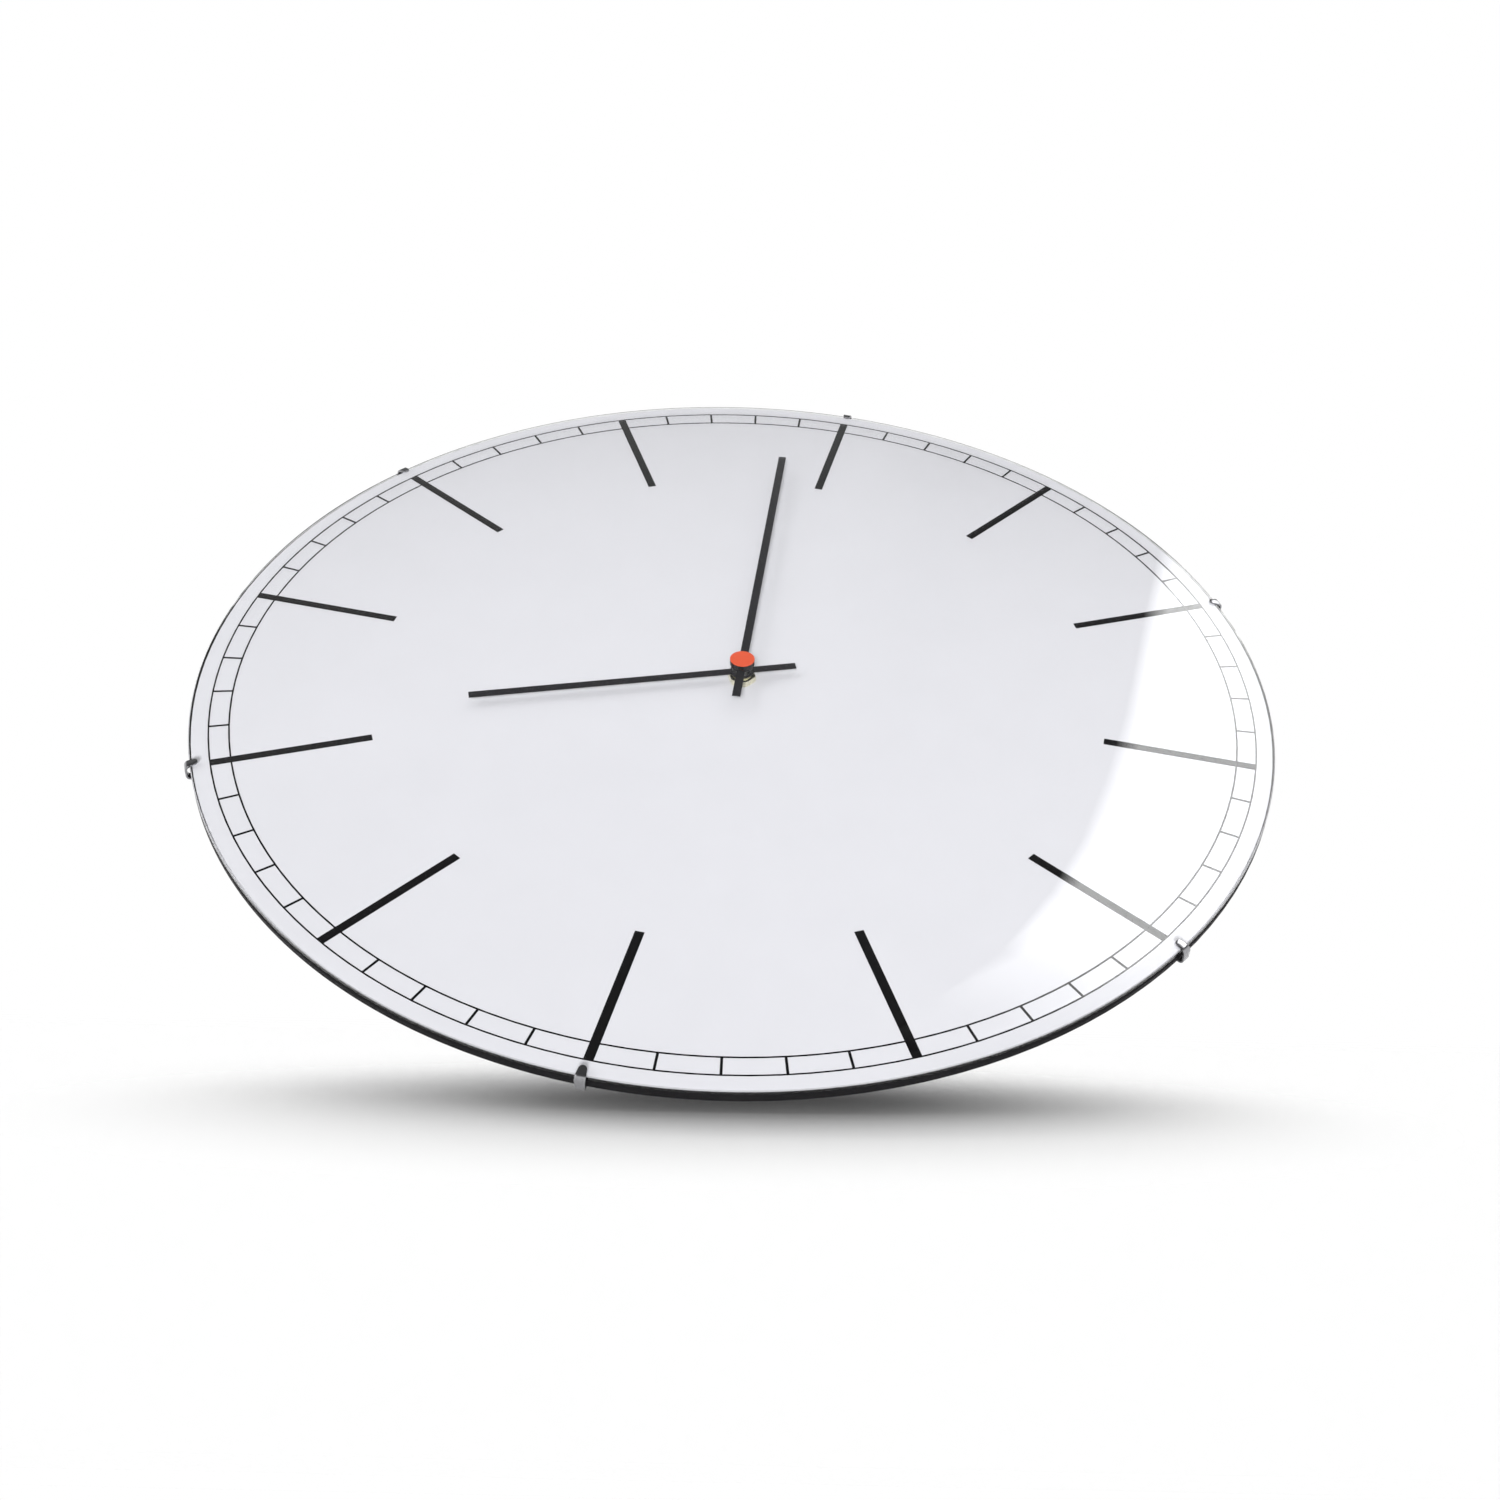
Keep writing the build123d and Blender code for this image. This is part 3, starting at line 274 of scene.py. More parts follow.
def make_tone():
    """Slow drift of a colour's lightness over a surface."""
    inputs = {"Vector": (0, 0, 0), "Scale": 20.0, "Colour": (1, 1, 1, 1), "Spread": 0.04}
    tree, given, output = start_effect("tone", inputs, ["Colour"])
    noise = add(tree, "TexNoise", {"Vector": given["Vector"], "Scale": given["Scale"], "Detail": 4.0})
    darker = calc(tree, "SUBTRACT", 1.0, given["Spread"])
    lighter = calc(tree, "ADD", 1.0, given["Spread"])
    value = spread_out(tree, noise.outputs["Fac"], darker, lighter)
    shade = add(tree, "HueSaturation", {"Color": given["Colour"], "Value": value})
    put_out(tree, output, Colour=shade.outputs["Color"])


def make_grain():
    """Even grain of a moulded, painted or sparked surface."""
    inputs = {"Vector": (0, 0, 0), "Scale": 500.0, "Low": 0.3, "High": 0.5}
    tree, given, output = start_effect("grain", inputs, ["Roughness", "Height"])
    place = {"Vector": given["Vector"], "Scale": given["Scale"]}
    noise = add(tree, "TexNoise", {**place, "Detail": 3.0, "Roughness": 0.6}).outputs["Fac"]
    rough = spread_out(tree, noise, given["Low"], given["High"])
    put_out(tree, output, Roughness=rough, Height=noise)


def make_brushing():
    """Fine lines along one direction, as on rolled or brushed strip."""
    inputs = {"Vector": (0, 0, 0), "Stretch": (1, 1, 1), "Scale": 900.0, "Low": 0.2, "High": 0.4}
    tree, given, output = start_effect("brushing", inputs, ["Roughness", "Height"])
    drawn = add(tree, "VectorMath", {0: given["Vector"], 1: given["Stretch"]}, operation="MULTIPLY")
    place = {"Vector": drawn.outputs["Vector"], "Scale": given["Scale"], "Detail": 5.0}
    noise = add(tree, "TexNoise", {**place, "Roughness": 0.65}).outputs["Fac"]
    rough = spread_out(tree, noise, given["Low"], given["High"])
    put_out(tree, output, Roughness=rough, Height=noise)


def make_turning():
    """Fine rings round an axis along Y, as a lathe tool leaves them."""
    inputs = {"Vector": (0, 0, 0), "Scale": 9000.0, "Low": 0.2, "High": 0.35}
    tree, given, output = start_effect("turning", inputs, ["Roughness", "Height"])
    phase = calc(tree, "MULTIPLY", distance(tree, given["Vector"], (1, 0, 1)), given["Scale"])
    wave = add(tree, "Math", {0: phase}, operation="SINE").outputs[0]
    noise = add(tree, "TexNoise", {"Vector": given["Vector"], "Scale": 700.0}).outputs["Fac"]
    mixed = {0: wave, 1: RING_SHARE, 2: noise}
    mixed = add(tree, "Math", mixed, operation="MULTIPLY_ADD").outputs[0]
    rough = spread_out(tree, mixed, given["Low"], given["High"])
    put_out(tree, output, Roughness=rough, Height=mixed)


EFFECTS = {"tone": make_tone, "grain": make_grain, "brushing": make_brushing, "turning": make_turning}


def place_effect(tree, name, inputs):
    """Puts a shared effect into a material, built when it is first needed."""
    if name not in bpy.data.node_groups:
        EFFECTS[name]()
    made = tree.nodes.new("ShaderNodeGroup")
    made.node_tree = bpy.data.node_groups[name]
    feed(tree, made, inputs)
    return made.outputs


def finish(
    name, base, rough, scale, depth, spread=0.04, effect="grain", stretch=None, centre=None, plain=None
):
    """A material with drifting colour, and roughness and bump from one of the effects.

    rough is the lowest and highest roughness, scale the effect's fineness per metre, depth
    the height of its bump in metres, and plain the values that are even all over.
    """
    made = bpy.data.materials.get(name) or bpy.data.materials.new(name)
    made.use_nodes = True
    tree = made.node_tree
    tree.nodes.clear()
    shader = add(tree, "BsdfPrincipled", plain)
    tree.links.new(shader.outputs["BSDF"], add(tree, "OutputMaterial").inputs["Surface"])
    place = add(tree, "TexCoord").outputs["Object"]
    if centre is not None:
        shift = {"Vector": place, "Location": [-value for value in centre]}
        place = add(tree, "Mapping", shift).outputs["Vector"]
    tone = {"Vector": place, "Scale": scale / DRIFT, "Colour": (*base, 1.0), "Spread": spread}
    tree.links.new(place_effect(tree, "tone", tone)["Colour"], shader.inputs["Base Color"])
    marks = {"Vector": place, "Scale": scale, "Low": rough[0], "High": rough[1]}
    if stretch is not None:
        marks["Stretch"] = stretch
    marks = place_effect(tree, effect, marks)
    tree.links.new(marks["Roughness"], shader.inputs["Roughness"])
    bump = add(tree, "Bump", {"Height": marks["Height"], "Distance": depth, "Strength": 1.0})
    tree.links.new(bump.outputs["Normal"], shader.inputs["Normal"])
    return made


def metal(name, base, rough, scale, depth, effect="brushing", stretch=(1, 1, 1), centre=None):
    """A bare metal with fine lines or turned rings."""
    stretch = stretch if effect == "brushing" else None
    return finish(
        name,
        base,
        rough,
        scale,
        depth,
        spread=0.05,
        effect=effect,
        stretch=stretch,
        centre=centre,
        plain={"Metallic": 1.0},
    )


def dress(material, *names):
    """Gives CAD nodes a material."""
    for name in names:
        NODES[name].data.materials.clear()
        NODES[name].data.materials.append(material)


def add_object(name, data, matrix=Matrix()):
    """Adds an object to the scene, instead of an older one of the same name."""
    old = bpy.data.objects.get(name)
    if old:
        bpy.data.objects.remove(old)
    made = bpy.data.objects.new(name, data)
    made.matrix_world = matrix
    bpy.context.scene.collection.objects.link(made)
    return made


def mesh_of(bm, name):
    """Ends the modelling of a shape and keeps it as a mesh."""
    mesh = bpy.data.meshes.new(name)
    bm.to_mesh(mesh)
    bm.free()
    return mesh


def points_in(items):
    """The points among the items that a modelling step made."""
    return [item for item in items if isinstance(item, bmesh.types.BMVert)]


def edges_in(items):
    """The edges among the items that a modelling step made."""
    return [item for item in items if isinstance(item, bmesh.types.BMEdge)]


def settle(bm, name, body, materials, nodes=(), place=HANG, sharp=35.0):
    """Makes a finished piece of a mesh: closed, turned outwards, in its place and riding on a body."""
    bmesh.ops.remove_doubles(bm, verts=bm.verts, dist=TINY)
    bmesh.ops.recalc_face_normals(bm, faces=bm.faces)
    bmesh.ops.transform(bm, matrix=place, verts=bm.verts)
    for face in bm.faces:
        face.smooth = True
    mesh = mesh_of(bm, name)
    mesh.set_sharp_from_angle(angle=radians(sharp))
    for material in materials:
        mesh.materials.append(material)
    piece = add_object(name, mesh)
    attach(piece, body)
    if nodes:
        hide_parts(*nodes)
    return piece


def soften(bm, width, steps=2, limit=40.0):
    """Rounds every edge that is sharper than a limit in degrees."""
    bm.normal_update()
    sharp = [edge for edge in bm.edges if edge.calc_face_angle(0.0) > radians(limit)]
    bmesh.ops.bevel(
        bm, geom=sharp, offset=width, segments=steps, profile=0.5, affect="EDGES", material=-1
    )


def thicken(bm, rise):
    """Raises a flat outline into a closed plate."""
    made = bmesh.ops.extrude_face_region(bm, geom=bm.faces[:], use_keep_orig=True)
    bmesh.ops.translate(bm, vec=(0, 0, rise), verts=points_in(made["geom"]))


def points_at(bm, r, z):
    """The points of a section that lie at a radius and a height."""
    return [v for v in bm.verts if abs(v.co.x - r) < TINY and abs(v.co.z - z) < TINY]


def turn_round(bm, steps):
    """Turns everything drawn so far fully round the upright axis."""
    bmesh.ops.spin(
        bm,
        geom=bm.verts[:] + bm.edges[:],
        cent=(0, 0, 0),
        axis=(0, 0, 1),
        angle=2 * pi,
        steps=steps,
        use_merge=True,
    )


def clock_turn(angle):
    """Turns a piece that points to three o'clock to a clock angle."""
    return Matrix.Rotation(pi / 2 - angle, 4, "Z")


def build_glass(sizes, material):
    """The dome: two arcs and a ground edge, turned about the spindle."""
    foot = DIAL_FACE + sizes.glass_gap
    rise = GLASS_TOP - sizes.glass_thickness - foot
    seat_r = GLASS_R - sizes.glass_seat
    inner_r = (seat_r**2 + rise**2) / (2 * rise)
    outer_r = inner_r + sizes.glass_thickness
    centre = (0, 0, foot + rise - inner_r)
    shoulder_r = GLASS_R - sizes.glass_arris
    shoulder = centre[2] + sqrt(outer_r**2 - GLASS_R**2)
    bm = bmesh.new()
    ends = []
    for radius, rim_r in ((outer_r, shoulder_r), (inner_r, seat_r)):
        apex = bm.verts.new((0, 0, centre[2] + radius))
        sweep = asin(rim_r / radius)
        arc = bmesh.ops.spin(
            bm, geom=[apex], cent=centre, axis=(0, 1, 0), angle=sweep, steps=sizes.glass_steps
        )
        ends += points_in(arc["geom_last"])
    edge = [
        (GLASS_R, shoulder - sizes.glass_arris),
        (GLASS_R, foot + sizes.glass_arris),
        (shoulder_r, foot),
    ]
    line = [ends[0], *[bm.verts.new((r, 0, z)) for r, z in edge], ends[1]]
    for start, end in zip(line, line[1:]):
        bm.edges.new((start, end))
    turn_round(bm, sizes.round_steps)
    piece = settle(bm, "dome_glass", "clock_case", [material], ["glass_dome"])
    # The studio lights the dial through the glass; camera and mirror rays see the glass itself.
    piece.visible_shadow = False
    piece.visible_diffuse = False


def build_clip(sizes, number, material):
    """A spring clip bent from strip: a tongue on the glass, a leg and a foot under the rim."""
    node = CLIP_NODES[number]
    low, high = reach(node)
    half = sizes.clip_width / 2
    foot_r, outer_r = [corner.z - SPINDLE.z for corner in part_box(CLIP_NODES[0])]
    leg_r = max(outer_r, GLASS_R) - sizes.clip_thickness
    top, under = high - sizes.clip_thickness, low + sizes.clip_thickness
    tip = (GLASS_R - sizes.clip_reach, top)
    corners = [tip, (leg_r, top - sizes.clip_fall), (leg_r, under), (foot_r, under)]
    bm = bmesh.new()
    points = [bm.verts.new((r, -half, z)) for r, z in corners]
    line = [bm.edges.new(pair) for pair in zip(points, points[1:])]
    across = bmesh.ops.extrude_edge_only(bm, edges=line)["geom"]
    bmesh.ops.translate(bm, vec=(0, 2 * half, 0), verts=points_in(across))
    for corner, share in (
        (tip, sizes.clip_tip / sizes.clip_width), (corners[2], LEG_SHARE), (corners[3], FOOT_SHARE)
    ):
        bmesh.ops.scale(bm, vec=(1, share, 1), verts=points_at(bm, *corner))
    bends = [edge for edge in bm.edges if not edge.is_boundary]
    rounding = {"segments": BEND_STEPS, "profile": 0.5, "material": -1}
    bmesh.ops.bevel(bm, geom=bends, offset=sizes.clip_bend, affect="EDGES", **rounding)
    tongue = points_at(bm, *tip)
    bmesh.ops.bevel(bm, geom=tongue, offset=TONGUE_ROUND * sizes.clip_tip, affect="VERTICES", **rounding)
    bmesh.ops.recalc_face_normals(bm, faces=bm.faces)
    bm.normal_update()
    upper = max(bm.faces, key=lambda face: face.calc_center_median().z)
    if upper.normal.z > 0:
        bmesh.ops.reverse_faces(bm, faces=bm.faces)
    bmesh.ops.solidify(bm, geom=bm.faces[:], thickness=sizes.clip_thickness)
    soften(bm, sizes.clip_edge)
    place = HANG @ clock_turn(number * 2 * pi / len(CLIP_NODES))
    settle(bm, f"clip_{number + 1}", "clock_case", [material], [node], place)


def build_hand(sizes, which, node, material):
    """A straight blade with an eye round its bush, stamped from sheet."""
    blade, tail, eye_r, hole_r, angle = [
        getattr(sizes, f"{which}_{part}") for part in ("length", "tail", "eye", "hole", "angle")
    ]
    low, high = reach(node)
    half = sizes.hand_width / 2
    bm = bmesh.new()
    for radius in (eye_r, hole_r):
        bmesh.ops.create_circle(bm, segments=EYE_STEPS, radius=radius)
    bmesh.ops.bridge_loops(bm, edges=bm.edges[:])
    for side in (-half, half):
        everything = bm.verts[:] + bm.edges[:] + bm.faces[:]
        bmesh.ops.bisect_plane(bm, geom=everything, plane_co=(0, side, 0), plane_no=(0, 1, 0))
    middle_r = (eye_r + hole_r) / 2
    for way, end in ((1, blade), (-1, -tail)):
        # The outer edges of the eye that the blade or the tail is drawn from.
        root = [
            edge
            for edge in bm.edges
            if edge.is_boundary
            and all(abs(v.co.y) < half + TINY and v.co.x * way > middle_r / 2 for v in edge.verts)
            and all(v.co.length > middle_r for v in edge.verts)
        ]
        drawn = bmesh.ops.extrude_edge_only(bm, edges=root)["geom"]
        bmesh.ops.scale(
            bm, vec=(0, 1, 1), space=Matrix.Translation((-end, 0, 0)), verts=points_in(drawn)
        )
    thicken(bm, high - low)
    bmesh.ops.translate(bm, vec=(0, 0, low), verts=bm.verts)
    bmesh.ops.recalc_face_normals(bm, faces=bm.faces)
    soften(bm, sizes.hand_edge)
    place = HANG @ clock_turn(angle)
    settle(bm, f"{which}_blade", f"{which}_arbor", [material], [node], place)


def build_battery(material, band, steel):
    """One cell: rolled sleeve with a pale band, and bright ends with the nub."""
    low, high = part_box("battery")
    radius = (high.y - low.y) / 2
    span = high.x - low.x
    bm = bmesh.new()
    points = [bm.verts.new((r * MM, 0, z * MM)) for r, z in CELL_LINE]
    for pair in zip(points, points[1:]):
        bm.edges.new(pair)
    turn_round(bm, CELL_STEPS)
    for face in bm.faces:
        middle = face.calc_center_median()
        sleeved = middle.xy.length > SLEEVE_R * MM
        face.material_index = (1 if middle.z > BAND_START * MM else 0) if sleeved else 2
    centre = Vector((low.x, (low.y + high.y) / 2, (low.z + high.z) / 2))
    wide = radius / (CELL_R * MM)
    fit = Matrix.Diagonal((wide, wide, span / (CELL_LENGTH * MM), 1.0))
    place = Matrix.Translation(centre) @ Matrix.Rotation(pi / 2, 4, "Y") @ fit
    finishes = [material, band, steel]
    settle(bm, "cell", "battery_cell", finishes, ["battery"], place)


def build_signs(sizes, material):
    """Moulded plus and minus over the battery bay, and a turning arrow round the knob."""
    size, rise = sizes.sign_size, sizes.sign_rise
    bay_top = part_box("battery")[1].z - SPINDLE.z + SIGN_ABOVE * MM
    bm = bmesh.new()
    cells, half_stroke = SIGN_STROKES, size / (2 * SIGN_STROKES)
    plus = bmesh.ops.create_grid(bm, x_segments=cells, y_segments=cells, size=size / 2)["verts"]
    corners = [
        face for face in bm.faces if min(abs(x) for x in face.calc_center_median().xy) > half_stroke
    ]
    bmesh.ops.delete(bm, geom=corners, context="FACES")
    plus = [v for v in plus if v.is_valid]
    bmesh.ops.translate(bm, vec=(SIGN_ASIDE * MM, bay_top, 0), verts=plus)
    minus = bmesh.ops.create_grid(bm, x_segments=cells, y_segments=1, size=size / 2)["verts"]
    bmesh.ops.scale(bm, vec=(1, 1 / cells, 1), verts=minus)
    bmesh.ops.translate(bm, vec=(-SIGN_ASIDE * MM, bay_top, 0), verts=minus)
    knob_low, knob_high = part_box("setting_knob")
    centre = HANG.inverted() @ ((knob_low + knob_high) / 2)
    centre.z = 0.0
    ends = [bm.verts.new(centre + Vector((r * MM, 0, 0))) for r in ARROW_RADII]
    shaft = bm.edges.new(ends)
    sweep = radians(ARROW_SWEEP)
    arc = bmesh.ops.spin(
        bm, geom=[*ends, shaft], cent=centre, axis=(0, 0, 1), angle=sweep, steps=ARROW_STEPS
    )
    head = bmesh.ops.extrude_edge_only(bm, edges=edges_in(arc["geom_last"]))["geom"]
    barbs = points_in(head)
    middle = sum((v.co for v in barbs), Vector()) / 2
    wider = (ARROW_BARBS, ARROW_BARBS, 1)
    bmesh.ops.scale(bm, vec=wider, space=Matrix.Translation(-middle), verts=barbs)
    point = bmesh.ops.extrude_edge_only(bm, edges=edges_in(head))["geom"]
    ahead = (middle - centre).cross(Vector((0, 0, 1))).normalized() * ARROW_HEAD * MM
    bmesh.ops.pointmerge(bm, verts=points_in(point), merge_co=middle + ahead)
    bmesh.ops.remove_doubles(bm, verts=bm.verts, dist=TINY)
    thicken(bm, -rise)
    bmesh.ops.translate(bm, vec=(0, 0, REAR_FACE), verts=bm.verts)
    settle(bm, "moulded_signs", "clock_case", [material])


class CLOCK_OT_case(Operator):
    """Finish the moulded case and the hanger plate with its rivets"""

    bl_idname = "clock.case"
    bl_label = "Case and hanger"

    def execute(self, context):
        colours = context.scene.clock_colours
        dull = {"Specular IOR Level": 0.08}
        black = finish(
            "case_black", colours.case, rough=(0.42, 0.56), scale=1400, depth=14e-6, spread=0.10, plain=dull
        )
        dress(black, "case_back")
        zinc = metal(
            "hanger_steel", colours.zinc, rough=(0.30, 0.46), scale=350, depth=6e-6, stretch=(1, 1, 0.06)
        )
        dress(zinc, "hanger_plate", "hanger_rivets")
        return {"FINISHED"}


class CLOCK_OT_dial(Operator):
    """Finish the painted dial and its print"""

    bl_idname = "clock.dial"
    bl_label = "Dial"

    def execute(self, context):
        colours = context.scene.clock_colours
        satin, dull = {"Specular IOR Level": 0.3}, {"Specular IOR Level": 0.05}
        paint = finish(
            "dial_white", colours.dial, rough=(0.52, 0.62), scale=900, depth=2e-6, spread=0.008, plain=satin
        )
        dress(paint, "dial_plate")
        ink = finish(
            "print_black", colours.ink, rough=(0.65, 0.80), scale=1600, depth=3e-6, spread=0.08, plain=dull
        )
        dress(ink, "dial_print")
        return {"FINISHED"}


class CLOCK_OT_glass(Operator):
    """Model the domed glass"""

    bl_idname = "clock.glass"
    bl_label = "Glass"

    def execute(self, context):
        pale = context.scene.clock_colours.glass
        clear = {"Transmission Weight": 1.0, "IOR": 1.5}
        glass = finish(
            "clear_glass", pale, rough=(0.0, 0.012), scale=90, depth=1e-7, spread=0.004, plain=clear
        )
        build_glass(context.scene.clock_sizes, glass)
        return {"FINISHED"}


class CLOCK_OT_clips(Operator):
    """Model the six spring clips that hold the glass"""

    bl_idname = "clock.clips"
    bl_label = "Clips"

    def execute(self, context):
        scene = context.scene
        satin = {"Metallic": 0.96}
        steel = finish(
            "clip_steel",
            scene.clock_colours.clip,
            rough=(0.12, 0.22),
            scale=1500,
            depth=2e-6,
            spread=0.05,
            effect="brushing",
            stretch=(1, 0.1, 1),
            plain=satin,
        )
        for number in range(len(CLIP_NODES)):
            build_clip(scene.clock_sizes, number, steel)
        return {"FINISHED"}


class CLOCK_OT_hands(Operator):
    """Model the two hands and finish their bushes"""

    bl_idname = "clock.hands"
    bl_label = "Hands"

    def execute(self, context):
        sizes, colours = context.scene.clock_sizes, context.scene.clock_colours
        dull = {"Specular IOR Level": 0.15}
        paint = finish(
            "hand_black", colours.hands, rough=(0.50, 0.62), scale=1200, depth=4e-6, spread=0.08, plain=dull
        )
        build_hand(sizes, "minute", "minute_hand", paint)
        build_hand(sizes, "hour", "hour_hand", paint)
        bright = metal(
            "bush_bright", colours.bush, rough=(0.16, 0.30), scale=30000, depth=3e-6, **TURNED
        )
        dress(bright, "minute_hand_bush", "hour_hand_bush")
        return {"FINISHED"}


class CLOCK_OT_cap(Operator):
    """Finish the hand cap and its orange disc"""

    bl_idname = "clock.cap"
    bl_label = "Cap"

    def execute(self, context):
        colours = context.scene.clock_colours
        dull = {"Specular IOR Level": 0.25}
        black = finish(
            "cap_black", colours.cap, rough=(0.22, 0.32), scale=1800, depth=2e-6, spread=0.08, plain=dull
        )
        dress(black, "hand_cap")
        orange = finish(
            "cap_orange", colours.disc, rough=(0.30, 0.42), scale=1800, depth=3e-6, spread=0.03
        )
        dress(orange, "cap_disc")
        return {"FINISHED"}


class CLOCK_OT_nut(Operator):
    """Finish the brass nut and the threaded bush"""

    bl_idname = "clock.nut"
    bl_label = "Nut and bush"

    def execute(self, context):
        brass = context.scene.clock_colours.brass
        turned = metal(
            "brass_turned", brass, rough=(0.16, 0.32), scale=24000, depth=4e-6, **TURNED
        )
        dress(turned, "hex_nut", "threaded_bush")
        return {"FINISHED"}


class CLOCK_OT_movement(Operator):
    """Finish the movement's case and washer, and model its moulded signs"""

    bl_idname = "clock.movement"
    bl_label = "Movement case"

    def execute(self, context):
        colours = context.scene.clock_colours
        sparked = finish(
            "movement_black", colours.movement, rough=(0.42, 0.58), scale=2200, depth=22e-6, spread=0.10
        )
        dress(sparked, "movement_front_shell", "movement_rear_shell")
        rubber = finish(
            "rubber_black", colours.rubber, rough=(0.7, 0.85), scale=900, depth=12e-6, spread=0.10
        )
        dress(rubber, "rubber_washer")
        build_signs(context.scene.clock_sizes, sparked)
        return {"FINISHED"}


class CLOCK_OT_train(Operator):
    """Finish the moulded wheels and the bridge of the train"""

    bl_idname = "clock.train"
    bl_label = "Train"

    def execute(self, context):
        colours = context.scene.clock_colours
        soft = {"Subsurface Weight": 0.15, "Subsurface Radius": (0.001, 0.001, 0.0008)}
        wheels = finish(
            "wheel_white",
            colours.wheel,
            rough=(0.30, 0.42),
            scale=1600,
            depth=4e-6,
            spread=0.03,
            plain=soft,
        )
        dress(wheels, "cannon_pinion", "hour_wheel", "motion_wheel", "centre_wheel", "third_wheel")
        dress(wheels, "seconds_wheel", "intermediate_wheel", "rotor_pinion")
        grey = finish(
            "bridge_grey", colours.bridge, rough=(0.40, 0.55), scale=1800, depth=10e-6, spread=0.06
        )
        dress(grey, "train_bridge")
        return {"FINISHED"}


class CLOCK_OT_motor(Operator):
    """Finish the rotor magnet, the stator and the wound coil"""

    bl_idname = "clock.motor"
    bl_label = "Motor"

    def execute(self, context):
        colours = context.scene.clock_colours
        magnet = finish(
            "magnet_grey", colours.magnet, rough=(0.45, 0.6), scale=2400, depth=8e-6, spread=0.12
        )
        dress(magnet, "rotor_magnet")
        iron = metal(
            "stator_iron", colours.iron, rough=(0.34, 0.5), scale=900, depth=5e-6, stretch=(1, 1, 0.1)
        )
        dress(iron, "stator")
        nylon = finish(
            "bobbin_natural", colours.bobbin, rough=(0.32, 0.44), scale=1400, depth=5e-6, spread=0.04
        )
        dress(nylon, "coil_bobbin")
        wound = (1, 0.01, 0.01)
        wire = metal(
            "copper_wire", colours.copper, rough=(0.22, 0.36), scale=5000, depth=30e-6, stretch=wound
        )
        dress(wire, "coil_winding")
        return {"FINISHED"}


class CLOCK_OT_circuit(Operator):
    """Finish the circuit board, its potted chip and the quartz can"""

    bl_idname = "clock.circuit"
    bl_label = "Circuit"

    def execute(self, context):
        colours = context.scene.clock_colours
        board = finish(
            "board_brown", colours.board, rough=(0.45, 0.6), scale=700, depth=5e-6, spread=0.10
        )
        dress(board, "circuit_board")
        resin = finish(
            "resin_black", colours.resin, rough=(0.10, 0.2), scale=500, depth=12e-6, spread=0.06
        )
        dress(resin, "chip")
        can = metal(
            "crystal_can", colours.steel, rough=(0.16, 0.3), scale=1200, depth=3e-6, stretch=(0.08, 1, 1)
        )
        dress(can, "quartz_crystal")
        return {"FINISHED"}


class CLOCK_OT_battery(Operator):
    """Model the cell and finish its two contacts"""

    bl_idname = "clock.battery"
    bl_label = "Battery"

    def execute(self, context):
        colours = context.scene.clock_colours
        sleeve = finish(
            "battery_sleeve", colours.sleeve, rough=(0.22, 0.32), scale=700, depth=2e-6, spread=0.05
        )
        band = metal(
            "battery_band", colours.band, rough=(0.22, 0.32), scale=700, depth=2e-6, stretch=(0.05, 1, 1)
        )
        contact = metal(
            "contact_steel", colours.steel, rough=(0.2, 0.34), scale=1200, depth=3e-6, stretch=(1, 1, 0.1)
        )
        build_battery(sleeve, band, contact)
        dress(contact, "battery_contact_positive", "battery_contact_negative")
        return {"FINISHED"}


class CLOCK_OT_knob(Operator):
    """Finish the setting knob"""

    bl_idname = "clock.knob"
    bl_label = "Knob"

    def execute(self, context):
        colours = context.scene.clock_colours
        white = finish(
            "knob_white", colours.knob, rough=(0.36, 0.48), scale=1800, depth=8e-6, spread=0.03
        )
        dress(white, "setting_knob")
        return {"FINISHED"}


# The camera, fitted to the printed dial: its directions up and back, its place from the middle of the
# dial, its lens and sensor in millimetres, and its shift.
VIEW_UP = Vector((0.45274, -0.76385, 0.45996)).normalized()
VIEW_BACK = Vector((-0.59645, -0.64289, -0.48056)).normalized()
VIEW_FROM = Vector((-0.47369, -0.50617, -0.43871))
VIEW_LENS, VIEW_SENSOR = 46.29, 36.0
VIEW_SHIFT = (-0.06097, 0.0006)
VIEW_NEAR, VIEW_FAR = 0.01, 100.0
VIEW_SIDE = VIEW_UP.cross(VIEW_BACK).normalized()
DIAL_WAY = Vector((0, -1, 0))
# Where each lamp shines from, how widely in degrees, and whether bright surfaces mirror it.
LAMPS = {
    "front": (VIEW_BACK, 14.0, False),
    "overhead": (VIEW_UP, 60.0, False),
    "key": (Vector((-0.46, -0.72, 0.52)), 25.0, True),
    "rear": (Vector((-0.25, 0.80, 0.50)), 50.0, False),
}
# Cosines between which the surroundings change: the fill from behind the dial to before it, the wall
# beyond the clock and on the left, and the ceiling from level to upright.
FILL_EDGE = (0.02, 0.34)
WALL_EDGE = (-0.08, 0.05)
WALL_SIDE = (0.10, 0.22)
CEILING_EDGE = (0.3, 0.68)
# The softbox: its near edge from the middle of the dial, the direction along it, and its normal.
SOFTBOX_EDGE = Vector((1.251, -1.096, 0.185))
SOFTBOX_ALONG = Vector((-0.607, -0.724, -0.326)).normalized()
SOFTBOX_BACK = Vector((0.62, -0.689, 0.375)).normalized()
# The near edge of the softbox, bowed as a hanging sheet is: places along and across it, and its glow.
SOFTBOX_LINE = (
    (-1.15, -0.080, 0.9), (-0.909, -0.054, 0.9), (-0.594, -0.023, 0.95), (-0.430, -0.001, 1.0),
    (-0.175, 0.033, 1.0), (0.029, 0.052, 1.1), (0.228, 0.060, 1.3), (0.401, 0.046, 1.35),
    (0.620, -0.002, 0.55), (0.829, -0.108, 0.08), (0.992, -0.186, 0.0),
)
